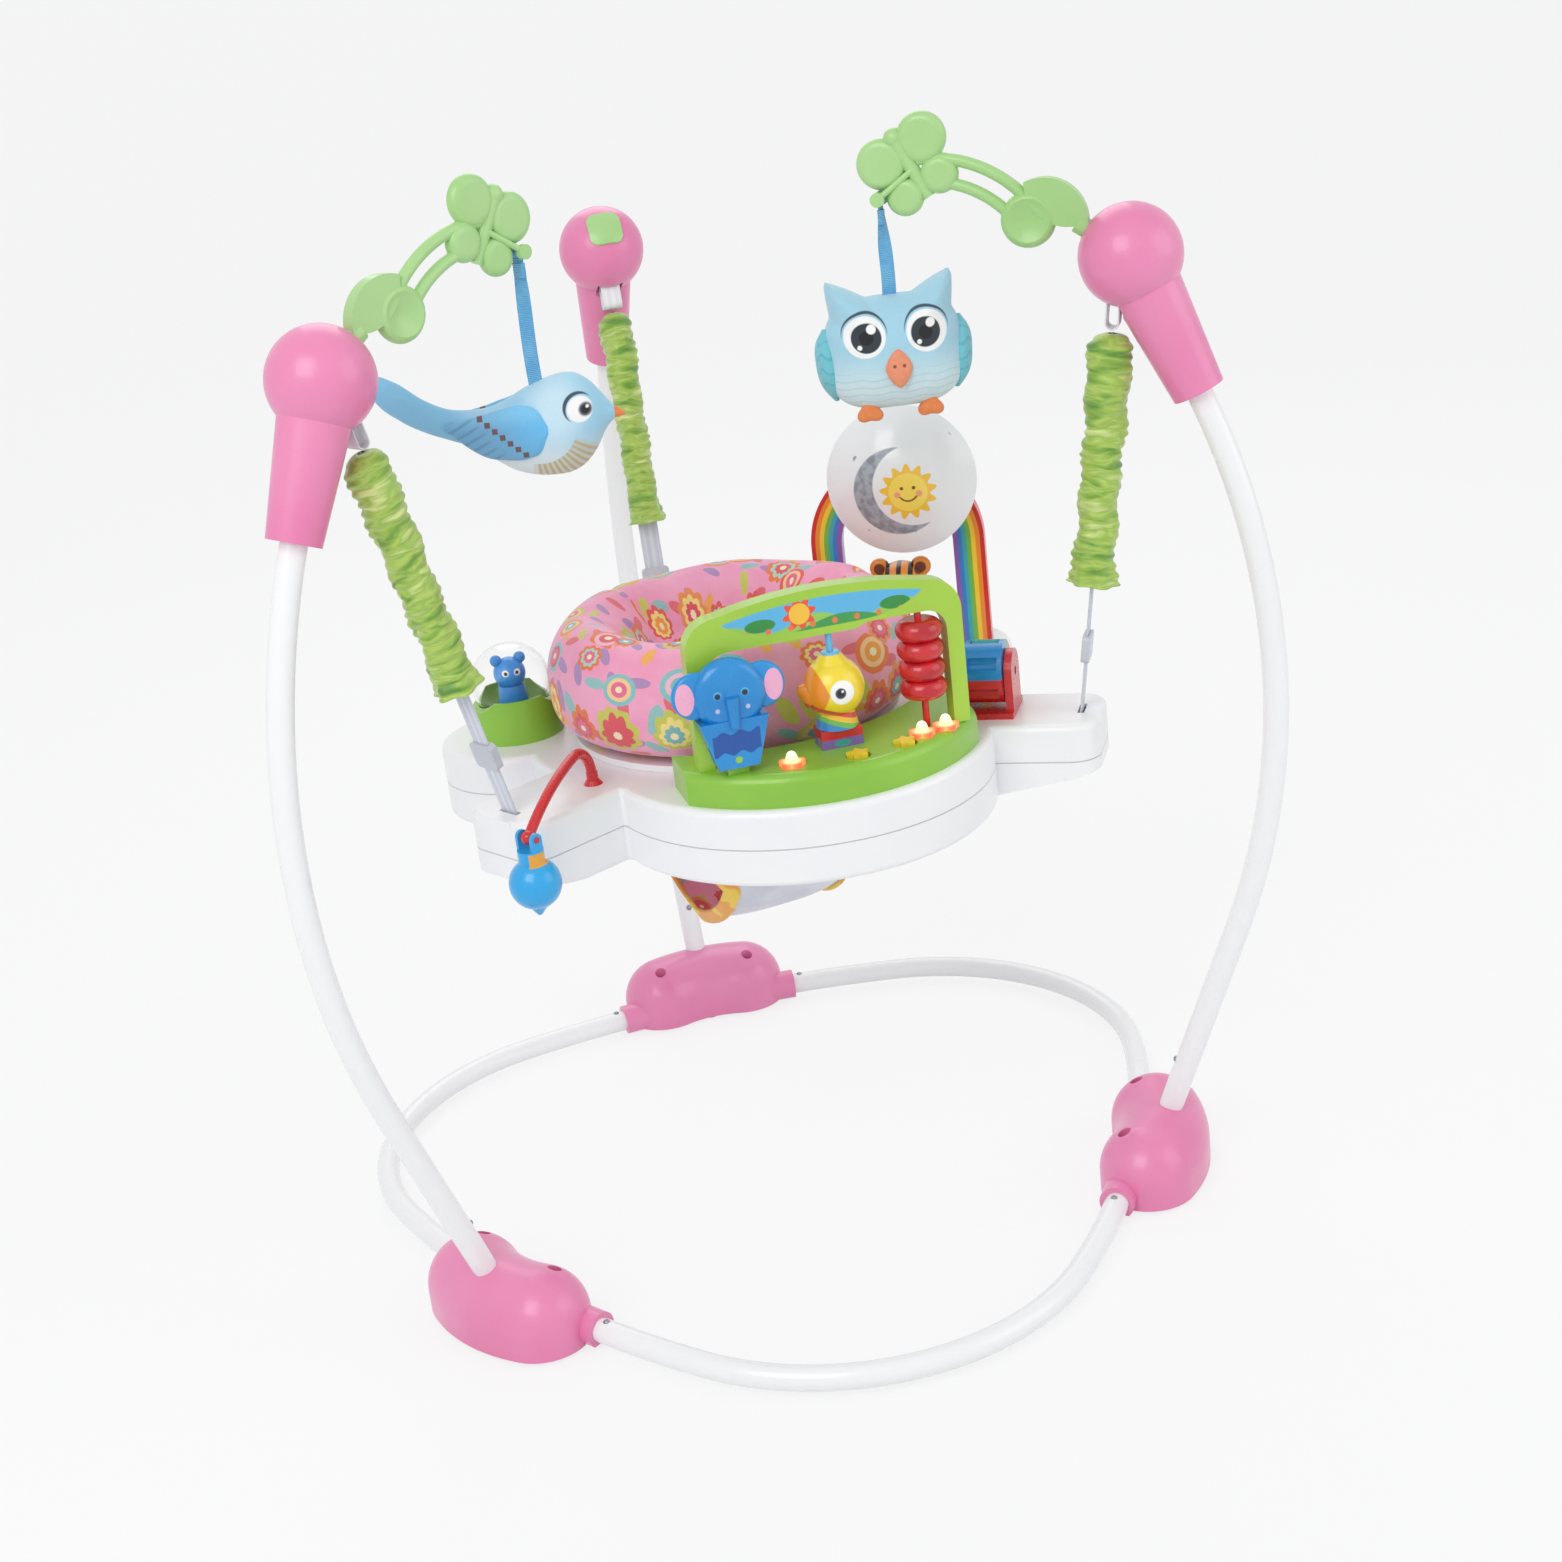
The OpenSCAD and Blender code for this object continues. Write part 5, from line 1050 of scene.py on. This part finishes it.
def wing_print(place):
    """Bright blue wing, greyer towards its tip feathers, with a row of brown stitched dots across it."""
    x, _, z = parts(moved(place, tuple(BIRD[0]), TOY_TURN))
    body = mix(rise(x + 0.6*z, -0.045, 0.004), ink(112, 168, 208), ink(104, 188, 238))
    body = mix(rise(z, 0.004, 0.02)*0.6, body, ink(136, 204, 240))
    feather = rise(sine((z - 0.5*x)*760.0), 0.3, 0.8)*rise(x + 0.8*z, -0.036, -0.05)
    body = mix(feather*0.45, body, ink(78, 122, 166))
    run = x*0.73 - z*0.684
    across = size(x*0.684 + z*0.73 + 0.0212)
    bead = size(run.math("FLOORED_MODULO", run + 0.05, 0.0078) - 0.0039)
    dots = rise(bead + across, 0.0036, 0.0030)*rise(run, -0.0525, -0.0515)*rise(run, 0.0045, 0.0035)
    body = mix(dots, body, ink(112, 80, 84))
    return {"Base Color": body, "Roughness": 0.7, "height": (plush(place), 0.0005)}


def felt(name, colour, deep):
    """Pressed felt: matted fibres in two tones."""
    def paint(place):
        mat = noise(place, 260.0, 5.0)
        return {"Base Color": mix(mat, colour, deep), "Roughness": 0.85, "height": (mat, 0.0004)}
    return finish(name, paint, 0.85, {"Sheen Weight": 0.2})


sky_cloth = finish("sky_cloth", bird_print, 0.75, {"Sheen Weight": 0.3})
wing_cloth = finish("wing_cloth", wing_print, 0.7, {"Sheen Weight": 0.3})
orange_felt = felt("orange_felt", ink(240, 150, 92), ink(226, 124, 66))
bird_body = toy_piece("bird_plush", ovals(
    [[-138, 49, 4, 3], [-133, 46, 10, 5], [-115, 34, 16, 8], [-94, 19, 14, 10], [-78, 11, 13, 12], [-56, 4, 16, 16],
     [-42, -1, 21.5, 20], [-27, -4, 29, 26], [-10, -3, 36, 32], [8, -1, 40, 35], [22, 1, 40.5, 34.5], [33, 3, 37, 31],
     [44, 5, 27, 23], [53, 6.5, 14, 13], [60, 5, 6, 6], [63, 4.5, 3, 3]], 130, 64),
    BIRD, sky_cloth, "bird_toy")
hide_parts("bird_body")
toy_piece("bird_beak", ovals([[57, 5.5, 6, 6], [61, 4.8, 5.2, 5], [66, 3.4, 3, 2.8], [70, 2.2, 0.6, 0.6]], 24, 24),
          BIRD, orange_felt, "bird_toy")
for side, sign in (("left", 1), ("right", -1)):
    wing = ovals([[-81, 9.5, 1, 1.5], [-74, 8, 5, 3.5], [-64, 5, 11, 5], [-48, 1, 17.5, 6.5], [-31, 1, 21, 7.5],
                  [-12, 2, 22, 7.5], [0, 2, 16, 6], [7, 2, 4, 3]], 72, 44)
    wing = settle(wing, (np.array([0, 0.0315, 0]), turned("z", 12.0)))*[1, sign, 1]
    piece = toy_piece(f"bird_wing_{side}", wing, BIRD, wing_cloth, "bird_toy")
    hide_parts("bird_wings")
print("bird made")

# %% [markdown]
# ## The owl
# The owl is a square pillow with a tuft at each upper corner, two teal wings, felt feet and a felt beak. Its
# outline is a superellipse with two narrow peaks added, and the pillow formula fills it. Its eyes are prints on
# the front half of the cover, so their masks stop at the side seam.

# %% Owl cloth
def owl_front(a):
    """The owl's outline: a rounded square with a pointed tuft at each upper corner."""
    square = (np.abs(np.cos(a)/0.058)**3.2 + np.abs(np.sin(a)/0.047)**3.2)**(-1/3.2)
    tips = np.radians([49.5, 130.5])
    return square + 0.026*np.clip(1 - turn_gap(a, tips)/np.radians(18), 0, 1)**1.4


def owl_print(place):
    """Pale blue plush with a lighter belly crossed by faint rows, and two big printed eyes with a lash line."""
    x, y, z = parts(moved(place, tuple(OWL[0]), TOY_TURN))
    body = mix(rise(z, -0.03, 0.012), ink(214, 236, 242), ink(166, 214, 234))
    row = rise(sine(z*980.0 + 0.8*sine(x*240.0)), 0.75, 0.95)*rise(z, -0.008, -0.016)
    body = mix(row*0.4, body, ink(150, 200, 214))
    front = rise(y, 0.004, -0.002)
    wide = size(x)
    lash = spot(wide, z, (0.0262, 0.0212), 0.0190) - spot(wide, z, (0.0262, 0.0190), 0.0188)
    white = spot(wide, z, (0.0262, 0.0188), 0.0174)
    body = mix(most(lash, 0.0)*front, body, ink(58, 74, 92))
    body = mix(white*front, body, ink(250, 251, 252))
    body = mix(spot(wide, z, (0.0250, 0.0180), 0.0126)*front, body, ink(44, 54, 62))
    body = mix(spot(wide, z, (0.0250, 0.0180), 0.0060)*front, body, ink(18, 20, 24))
    for aside, height, radius in ((0.0045, 0.0252, 0.0040), (-0.006, 0.0105, 0.0020)):
        for pupil in (0.0250, -0.0250):
            body = mix(spot(x - aside, z, (pupil, height), radius)*front, body, ink(255, 255, 255))
    return {"Base Color": body, "Roughness": 0.75, "height": (plush(place), 0.0006)}


def teal_print(place):
    """Teal wing plush with scalloped feather rows."""
    _, y, z = parts(moved(place, tuple(OWL[0]), TOY_TURN))
    row = rise(sine(z*520.0 + 1.4*sine(y*520.0)), 0.6, 0.95)
    return {"Base Color": mix(row*0.5, ink(118, 200, 214), ink(78, 166, 186)), "Roughness": 0.75,
            "height": (plush(place), 0.0006)}


owl_cloth = finish("owl_cloth", owl_print, 0.75, {"Sheen Weight": 0.3})
teal_cloth = finish("teal_cloth", teal_print, 0.75, {"Sheen Weight": 0.3})
owl_body = toy_piece("owl_plush", pillow(owl_front, 0.039), OWL, owl_cloth, "owl_toy")
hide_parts("owl_body")
for side, sign in (("left", -1), ("right", 1)):
    wing = ovals([[-37, -4, 2, 4], [-28, -2, 7, 13], [-4, 0, 11, 20], [14, 1, 8, 14], [24, 1, 2, 3]], 40, 36)
    wing = np.stack([sign*(0.056 + wing[..., 2]), wing[..., 1], wing[..., 0]], -1)
    piece = toy_piece(f"owl_wing_{side}", wing, OWL, teal_cloth, "owl_toy")
    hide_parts("owl_wings")
    toes = pillow(lambda a: 0.010*(1 + 0.22*np.cos(3*a + np.pi/2)), 0.006, 24, 48) + [sign*0.026, -0.016, -0.047]
    toy_piece(f"owl_foot_{side}", toes, OWL, orange_felt, "owl_toy")


def beak_felt(place):
    """Salmon felt with two small stitched nostrils."""
    x, _, z = parts(moved(place, tuple(OWL[0]), TOY_TURN))
    mat = noise(place, 260.0, 5.0)
    body = mix(mat, ink(242, 162, 128), ink(230, 138, 102))
    return {"Base Color": mix(spot(size(x), z, (0.0040, -0.0068), 0.0015), body, ink(150, 74, 56)), "Roughness": 0.85,
            "height": (mat, 0.0004)}


nose = pillow(lambda a: 1/(np.abs(np.cos(a)/0.0115)**1.5 + np.abs(np.sin(a)/0.0165)**1.5)**(1/1.5), 0.006, 24, 72)
toy_piece("owl_beak", nose + [0, -0.0375, -0.0095], OWL, finish("beak_felt", beak_felt, 0.85, {"Sheen Weight": 0.2}),
          "owl_toy")
print("owl made")

# %% [markdown]
# ## Ribbons
# Each toy hangs on a flat ribbon that ends in an eye round the bar's hook, with a sewn tab under it. The ribbon
# twists on its way down, so its width turns from the bar's direction to the toy's. A hanging ribbon under load is
# nearly straight, so a path with a slight sway is enough.

# %% Ribbons
def ribbon_weave(place):
    """Blue grosgrain: close crosswise ribs, and a tone that drifts."""
    rib = sine(parts(place.out("UV"))[0]*4200.0)
    return {"Base Color": mix(rise(noise(place, 60.0), 0.3, 0.7), ink(104, 184, 236), ink(126, 200, 242)),
            "Roughness": 0.5 + 0.06*rib, "height": (rib, 0.0003)}


blue_cloth = finish("blue_cloth", ribbon_weave, 0.5, {"Sheen Weight": 0.25})
RIBBON_W, RIBBON_T, EYE_R, EYE_T = 0.0118, 0.0014, 0.0039, 0.0013
TAB_RUN, TAB_W, TAB_T = (0.009, 0.021), 0.0126, 0.0042
for toy, leg, run, turn in (("bird", "left", 0.110, 48.0), ("owl", "right", 0.090, -72.0)):
    place = (hook_place(leg), turned("z", LEGS[leg][0]))
    drop = np.linspace(0.0038, run, 40)
    sway = 0.0012*np.sin(np.pi*(drop/run)**2)
    twist = np.radians(turn)*np.clip(drop/0.045, 0, 1)**1.5
    spoke = np.stack([-np.sin(twist), np.cos(twist), 0*twist], -1)
    strip = band(f"{toy}_ribbon", np.stack([sway, 0*drop, -drop], -1), spoke, RIBBON_W, RIBBON_T, place)
    a = np.linspace(-np.pi/2, 1.5*np.pi, 48)
    eye_path = np.stack([EYE_R*np.cos(a), 0*a, EYE_R*np.sin(a)], -1)
    loop = band(f"{toy}_ribbon_eye", eye_path, (0, 1, 0), RIBBON_W, EYE_T, place)
    down = np.linspace(*TAB_RUN, 14)
    tab = band(f"{toy}_ribbon_tab", np.stack([0*down, 0*down, -down], -1), (0, 1, 0), TAB_W, TAB_T, place)
    for piece in (strip, loop, tab):
        piece.data.materials.append(blue_cloth)
        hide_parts(f"{toy}_ribbon")
        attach(piece, f"{toy}_toy")
print("ribbons made")

# %% [markdown]
# ## Tray toys
# The tray's hard toys keep their CAD shapes. Each gets a paint job worked out in its own frame: bands by distance
# from the rainbow's middle, sectors round the roller, stripes, eyes and ears by distance from where they sit.

# %% Rainbow, globe and tiger
# The foot of the rainbow and how far it is turned, in degrees
RAINBOW, RAINBOW_TURN = (0.2012, 0.1057 + AXIS_Y, 0.0), -25.0


def painted(name, paint, roughness=0.3):
    """Painted moulding: a colour function over Object coordinates, with the ripple and cloudy gloss of plastic."""
    def look(place):
        return {"Base Color": paint(place), "Roughness": roughness - 0.05 + 0.1*gloss_clouds(place),
                "height": (orange_peel(place), PEEL_DEPTH)}
    return finish(name, look, roughness, {"Coat Weight": 0.3, "Coat Roughness": 0.1})


def rainbow_bands(place):
    """Seven bands from violet inside to red outside, by distance from the arch's middle line."""
    x, _, z = parts(moved(place, RAINBOW, RAINBOW_TURN))
    out = (length(x, most(z - 0.568, 0.0)) - 0.054)/0.030
    colours = [ink(146, 96, 176), ink(66, 128, 210), ink(58, 176, 186), ink(120, 190, 72), ink(248, 210, 60),
               ink(242, 146, 50), ink(214, 48, 44)]
    stops = [(k/len(colours), c) for k, c in enumerate(colours)]
    return out.node("ShaderNodeValToRGB", {"stops": stops, "steps": "CONSTANT"}, {0: out})


def globe_face(place):
    """Pearly white disc with a grey crescent, a smiling rayed sun in its arms and a scatter of dots."""
    x, y, z = parts(moved(place, RAINBOW, RAINBOW_TURN))
    x, z = x - 0.014, z - 0.637
    front = rise(y, -0.040, -0.046)
    moon = most(spot(x, z, (-0.001, -0.006), 0.042, 0.0008) - spot(x, z, (0.0145, -0.001), 0.0385, 0.0008), 0.0)
    shade = rise(noise(place, 130.0, 3.0), 0.4, 0.62)
    x, z = x - 0.009, z + 0.006
    angle, r = x.math("ARCTAN2", z, x), length(x, z)
    rays = rise(r/(1.0 + 0.14*sine(angle*13.0)), 0.0240, 0.0230)
    body = mix(front*moon, ink(240, 243, 245), mix(shade, ink(168, 176, 186), ink(138, 146, 156)))
    body = mix(front*rays, body, ink(246, 200, 64))
    body = mix(front*rise(r, 0.0185, 0.0177), body, ink(252, 224, 96))
    smile = rise(size(length(x, z - 0.0006) - 0.0088), 0.0011, 0.0006)*rise(z, -0.0032, -0.0042)
    dark = most(smile, spot(size(x), z, (0.0056, 0.0042), 0.0017, 0.0003))
    body = mix(front*spot(size(x), z, (0.0102, -0.0018), 0.0030), body, ink(244, 164, 130))
    body = mix(front*dark, body, ink(134, 84, 44))
    cell = place.node("ShaderNodeTexVoronoi", {}, {"Vector": place, "Scale": 46.0, "Randomness": 0.6})
    rim = length(x + 0.009, z - 0.006)
    far = rise(rim, 0.046, 0.048)*rise(rim, 0.066, 0.064)
    dots = rise(cell.out("Distance"), 0.14, 0.1)*far*front
    return mix(dots, body, ink(150, 158, 170))


def tiger_coat(place):
    """Orange head with dark stripes over the crown and cheeks, a cream muzzle, dark nose and eyes."""
    x, y, z = parts(moved(place, RAINBOW, RAINBOW_TURN))
    z = z - 0.522
    wide = size(x)
    crown = rise(sine(x*560.0 + 1.57), 0.15, 0.4)*rise(wide, 0.0145, 0.0135)*rise(z, 0.008, 0.010)
    cheek = rise(sine(z*620.0), 0.35, 0.6)*rise(wide, 0.0165, 0.0185)*rise(z, 0.012, 0.010)
    body = mix(most(crown, cheek), ink(238, 146, 52), ink(40, 34, 36))
    body = mix(spot(wide, z, (0.020, 0.020), 0.0055)*rise(y, 0.0, -0.003), body, ink(110, 62, 40))
    body = mix(rise(length(length(x, z + 0.010), y + 0.024), 0.0150, 0.0142), body, ink(250, 232, 206))
    front = rise(y, -0.012, -0.016)
    body = mix(spot(x, z, (0.0, -0.001), 0.0038)*front, body, ink(52, 40, 42))
    return mix(spot(wide, z, (0.0105, 0.0075), 0.0034)*front, body, ink(24, 22, 24))


dress(painted("orange_plastic", rainbow_bands, 0.32), "rainbow_arch")
dress(painted("pearl_plastic", globe_face, 0.24), "globe_disc")
dress(painted("tiger_paint", tiger_coat, 0.34), "tiger")
print("rainbow, globe and tiger painted")

# %% [markdown]
# ## The console
# The console is a lime arch over a row of small toys, with a picture on its header. The picture is a generic one,
# and every colour on the toys is a mask worked out from where it sits. A painted image would need unwrapping, and
# would blur close up.

# %% Console and its print
CONSOLE = (0.036, -0.200 + AXIS_Y, 0.488)


def console_face(place):
    """Lime arch whose header carries a lens-shaped picture: sky, two hills, a petalled round, leaves and dots."""
    x, y, z = parts(moved(place, CONSOLE))
    top = 0.1305 - x*x/0.838
    floor_line = 0.1040 + x*x*x*x*300.0
    front = rise(top - z, 0.0, 0.0008)*rise(z - floor_line, 0.0, 0.0008)*rise(y, -0.0080, -0.0086)
    hill = rise(z - 0.1085 - 0.005*sine(x*58.0 + 0.6), 0.0006, -0.0006)
    far_hill = rise(z - 0.1125 - 0.005*sine(x*84.0 + 2.1), 0.0006, -0.0006)
    art = mix(far_hill, ink(92, 184, 232), ink(150, 204, 84))
    angle, r = x.math("ARCTAN2", z - 0.119, x + 0.020), length(x + 0.020, z - 0.119)
    art = mix(rise(r/(1.0 + 0.2*sine(angle*8.0)), 0.0125, 0.0119), art, ink(236, 84, 52))
    art = mix(rise(r, 0.0092, 0.0086), art, ink(250, 196, 56))
    art = mix(hill, art, ink(60, 156, 76))
    art = mix(rise(length((size(x - 0.004) - 0.058)*0.42, z - 0.1145), 0.0058, 0.0052), art, ink(44, 142, 60))
    bead = size(x.math("FLOORED_MODULO", x, 0.019) - 0.0095)
    art = mix(spot(bead, z, (0.0, 0.1085), 0.0024), art, ink(240, 120, 70))
    return mix(front, drift(place, ink(172, 214, 70), ink(156, 202, 56)), art)


dress(painted("lime_arch", console_face, 0.3), "console_arch")
dress(lime_plastic, "console_base", "dome_cradle")
print("console painted")

# %% [markdown]
# ## The console's toys
# An elephant, a parrot on a striped perch and a column of red beads stand under the arch, with two star buttons
# in front. Their features are paint on smooth mouldings, so each is a distance in the toy's own frame, and moves
# with the toy when it rocks or spins.

# %% Elephant, parrot, beads and stars
# Where the elephant, parrot and perch stand; the elephant's heights count from the floor
ELEPHANT = (-0.054, -0.224 + AXIS_Y, 0.0)
PARROT, PERCH = (0.040, -0.203 + AXIS_Y, 0.5385), (0.040, -0.203 + AXIS_Y, 0.488)


def elephant_paint(place):
    """Bright blue with long pink inner ears, small dark eyes and a deep blue scarf with a notched edge."""
    x, y, z = parts(moved(place, ELEPHANT))
    wide, front = size(x), rise(y, -0.002, -0.0035)
    body = mix(rise(noise(place, 16.0), 0.35, 0.7), ink(34, 150, 220), ink(20, 134, 208))
    ear = rise(length((wide - 0.0375)/0.0078, (z - 0.5585)/0.0135), 1.03, 0.97)
    body = mix(ear*front, body, ink(244, 176, 208))
    scarf = rise(size(z - 0.517 - 0.0016*sine(x*420.0)), 0.0094, 0.0086)*rise(wide, 0.0206, 0.0198)
    body = mix(scarf*rise(y, -0.008, -0.0095), body, ink(10, 80, 166))
    body = mix(spot(wide, z, (0.0115, 0.5585), 0.0034)*front, body, ink(90, 190, 240))
    body = mix(spot(wide, z, (0.0115, 0.5580), 0.0026)*front, body, ink(16, 36, 66))
    return mix(spot(wide, z, (0.0128, 0.5458), 0.0019)*front, body, ink(196, 196, 226))


def parrot_paint(place):
    """Yellow head, orange beak side, a ringed eye on each cheek, bands of colour at the neck and a blue spindle."""
    x, _, z = parts(moved(place, PARROT))
    body = mix(rise(noise(place, 16.0), 0.35, 0.7), ink(248, 222, 56), ink(242, 206, 40))
    body = mix(rise(x + 0.35*size(z), -0.0095, -0.0105), body, ink(240, 146, 34))
    body = mix(spot(x, z, (0.0005, 0.0010), 0.0102), body, ink(252, 252, 250))
    body = mix(spot(x, z, (-0.0012, 0.0008), 0.0046), body, ink(60, 66, 74))
    body = mix(spot(x, z, (-0.0012, 0.0008), 0.0029), body, ink(16, 16, 18))
    body = mix(spot(x, z, (0.0004, 0.0024), 0.0010), body, ink(255, 255, 255))
    stops = [(0.0, ink(60, 140, 214)), (0.25, ink(110, 190, 80)), (0.5, ink(246, 196, 50)), (0.75, ink(226, 76, 60))]
    bands = x.node("ShaderNodeValToRGB", {"stops": stops, "steps": "CONSTANT"}, {0: (z + 0.036 + 0.35*x)/0.018})
    body = mix(rise(z, 0.0285, 0.0295), body, ink(110, 186, 228))
    return mix(rise(z + 0.35*x, -0.0175, -0.0185), body, bands)


def block_paint(place):
    """Red block with a violet foot and a teal oval on its front."""
    x, _, z = parts(moved(place, PERCH))
    body = mix(rise(z, 0.0085, 0.0078), ink(214, 40, 46), ink(132, 100, 176))
    return mix(rise(length(x*0.4, z - 0.0040), 0.0031, 0.0027), body, ink(64, 160, 158))


def bead_paint(place):
    """Deep red beads with cloudy darker patches."""
    return mix(rise(noise(place, 60.0, 3.0), 0.35, 0.7), ink(214, 36, 46), ink(186, 22, 38))


dress(painted("blue_plastic", elephant_paint, 0.28), "elephant")
dress(painted("parrot_paint", parrot_paint, 0.28), "parrot")
dress(painted("block_paint", block_paint, 0.3), "perch_block")
dress(painted("bead_paint", bead_paint, 0.22), "bead_column")
dress(yellow_plastic, "star_button_left", "star_button_right")
print("console toys painted")

# %% [markdown]
# ## The console's lights
# Three flower-shaped lenses glow in the console's deck. Lamps inside them would light the whole toy, so the lens
# itself shines a little, white in the middle and red at the rim.

# %% Flower lights
# The lights' middles, counted from the seat's axis, and their radius
LIGHTS, LIGHT_R = ((-0.010, -0.234), (0.107, -0.223), (0.130, -0.217)), 0.0115


def lamp_glow(place):
    """Lit flower lens: white heart, warm petals and a red rim, by distance from the nearest lamp's middle."""
    x, y, _ = parts(moved(place, (0.0, AXIS_Y, 0.0)))
    one, two, three = (length(x - at[0], y - at[1]) for at in LIGHTS)
    far = least(least(one, two), three)
    stops = [(0.0, ink(255, 252, 240)), (0.42, ink(255, 226, 176)), (0.75, ink(250, 156, 92)),
             (1.0, ink(236, 96, 70))]
    glow = far.node("ShaderNodeValToRGB", {"stops": stops}, {0: far/LIGHT_R})
    return {"Base Color": glow, "Emission Color": glow, "Roughness": 0.2 + 0.1*noise(place, 200.0)}


dress(finish("light_lens", lamp_glow, 0.25, {"Emission Strength": 0.75}), "light_flowers")
print("flower lights painted")

# %% [markdown]
# ## Roller, dome and dangling toy
# The last three toys stand round the tray: a drum in coloured sectors, a critter in a clear ball, and a blue bulb
# on a red stem. The ball is thin clear plastic with little bending of light, since a thick glassy one would hide
# the critter.

# %% Roller, dome and dangling toy
# The roller's azimuth, distance from the axis and height, and where the critter and the bulb's pin are
ROLLER_AZ, ROLLER_R, ROLLER_Z = 330.0, 0.236, 0.497
ROLLER = (ROLLER_R*np.cos(np.radians(ROLLER_AZ)), ROLLER_R*np.sin(np.radians(ROLLER_AZ)) + AXIS_Y, ROLLER_Z)
CRITTER, BULB = (-0.1942, 0.0745 + AXIS_Y, 0.509), (-0.2323, -0.2517, 0.4469)


def roller_paint(place):
    """Sectors of red, teal and blue round the drum's axle."""
    _, y, z = parts(moved(place, ROLLER, ROLLER_AZ))
    turn = z.math("ARCTAN2", z, y)/6.2832 + 0.5
    stops = [(0.0, ink(214, 40, 48)), (0.3, ink(60, 170, 170)), (0.46, ink(214, 40, 48)), (0.62, ink(60, 170, 170)),
             (0.74, ink(24, 140, 214))]
    return turn.node("ShaderNodeValToRGB", {"stops": stops, "steps": "CONSTANT"}, {0: turn})


def critter_paint(place):
    """Blue critter on a dark green mound, with white-rimmed eyes."""
    x, y, z = parts(moved(place, CRITTER))
    body = mix(rise(z, -0.0255, -0.0265), ink(44, 140, 220), ink(64, 142, 76))
    front = rise(y, -0.006, -0.009)
    body = mix(spot(size(x), z, (0.0055, 0.0120), 0.0030)*front, body, ink(248, 250, 252))
    return mix(spot(size(x), z, (0.0052, 0.0118), 0.0017)*front, body, ink(24, 26, 30))


def dangle_paint(place):
    """Sky-blue bulb with an orange mark on the front of its neck, turned to the right."""
    x, y, z = parts(moved(place, BULB))
    mark = rise(size(z), 0.0058, 0.0050)*rise(0.8*x - 0.6*y, 0.0030, 0.0038)
    return mix(mark, ink(36, 168, 232), ink(230, 166, 52))


def clear_look(place):
    """Clear styrene with the faintest haze."""
    return {"Roughness": 0.03 + 0.05*noise(place, 40.0, 3.0)}


clear_plastic = finish("clear_plastic", clear_look, 0.05, {"Base Color": (1, 1, 1, 1), "Transmission Weight": 1.0,
                                                           "IOR": 1.2})
dress(red_plastic, "roller_cradle", "dangle_stem")
dress(painted("roller_paint", roller_paint, 0.26), "roller_drum")
dress(painted("critter_paint", critter_paint, 0.32), "dome_critter")
dress(painted("dangle_paint", dangle_paint, 0.28), "dangle_toy")
dress(clear_plastic, "dome_ball")
print("roller, dome and dangling toy painted")
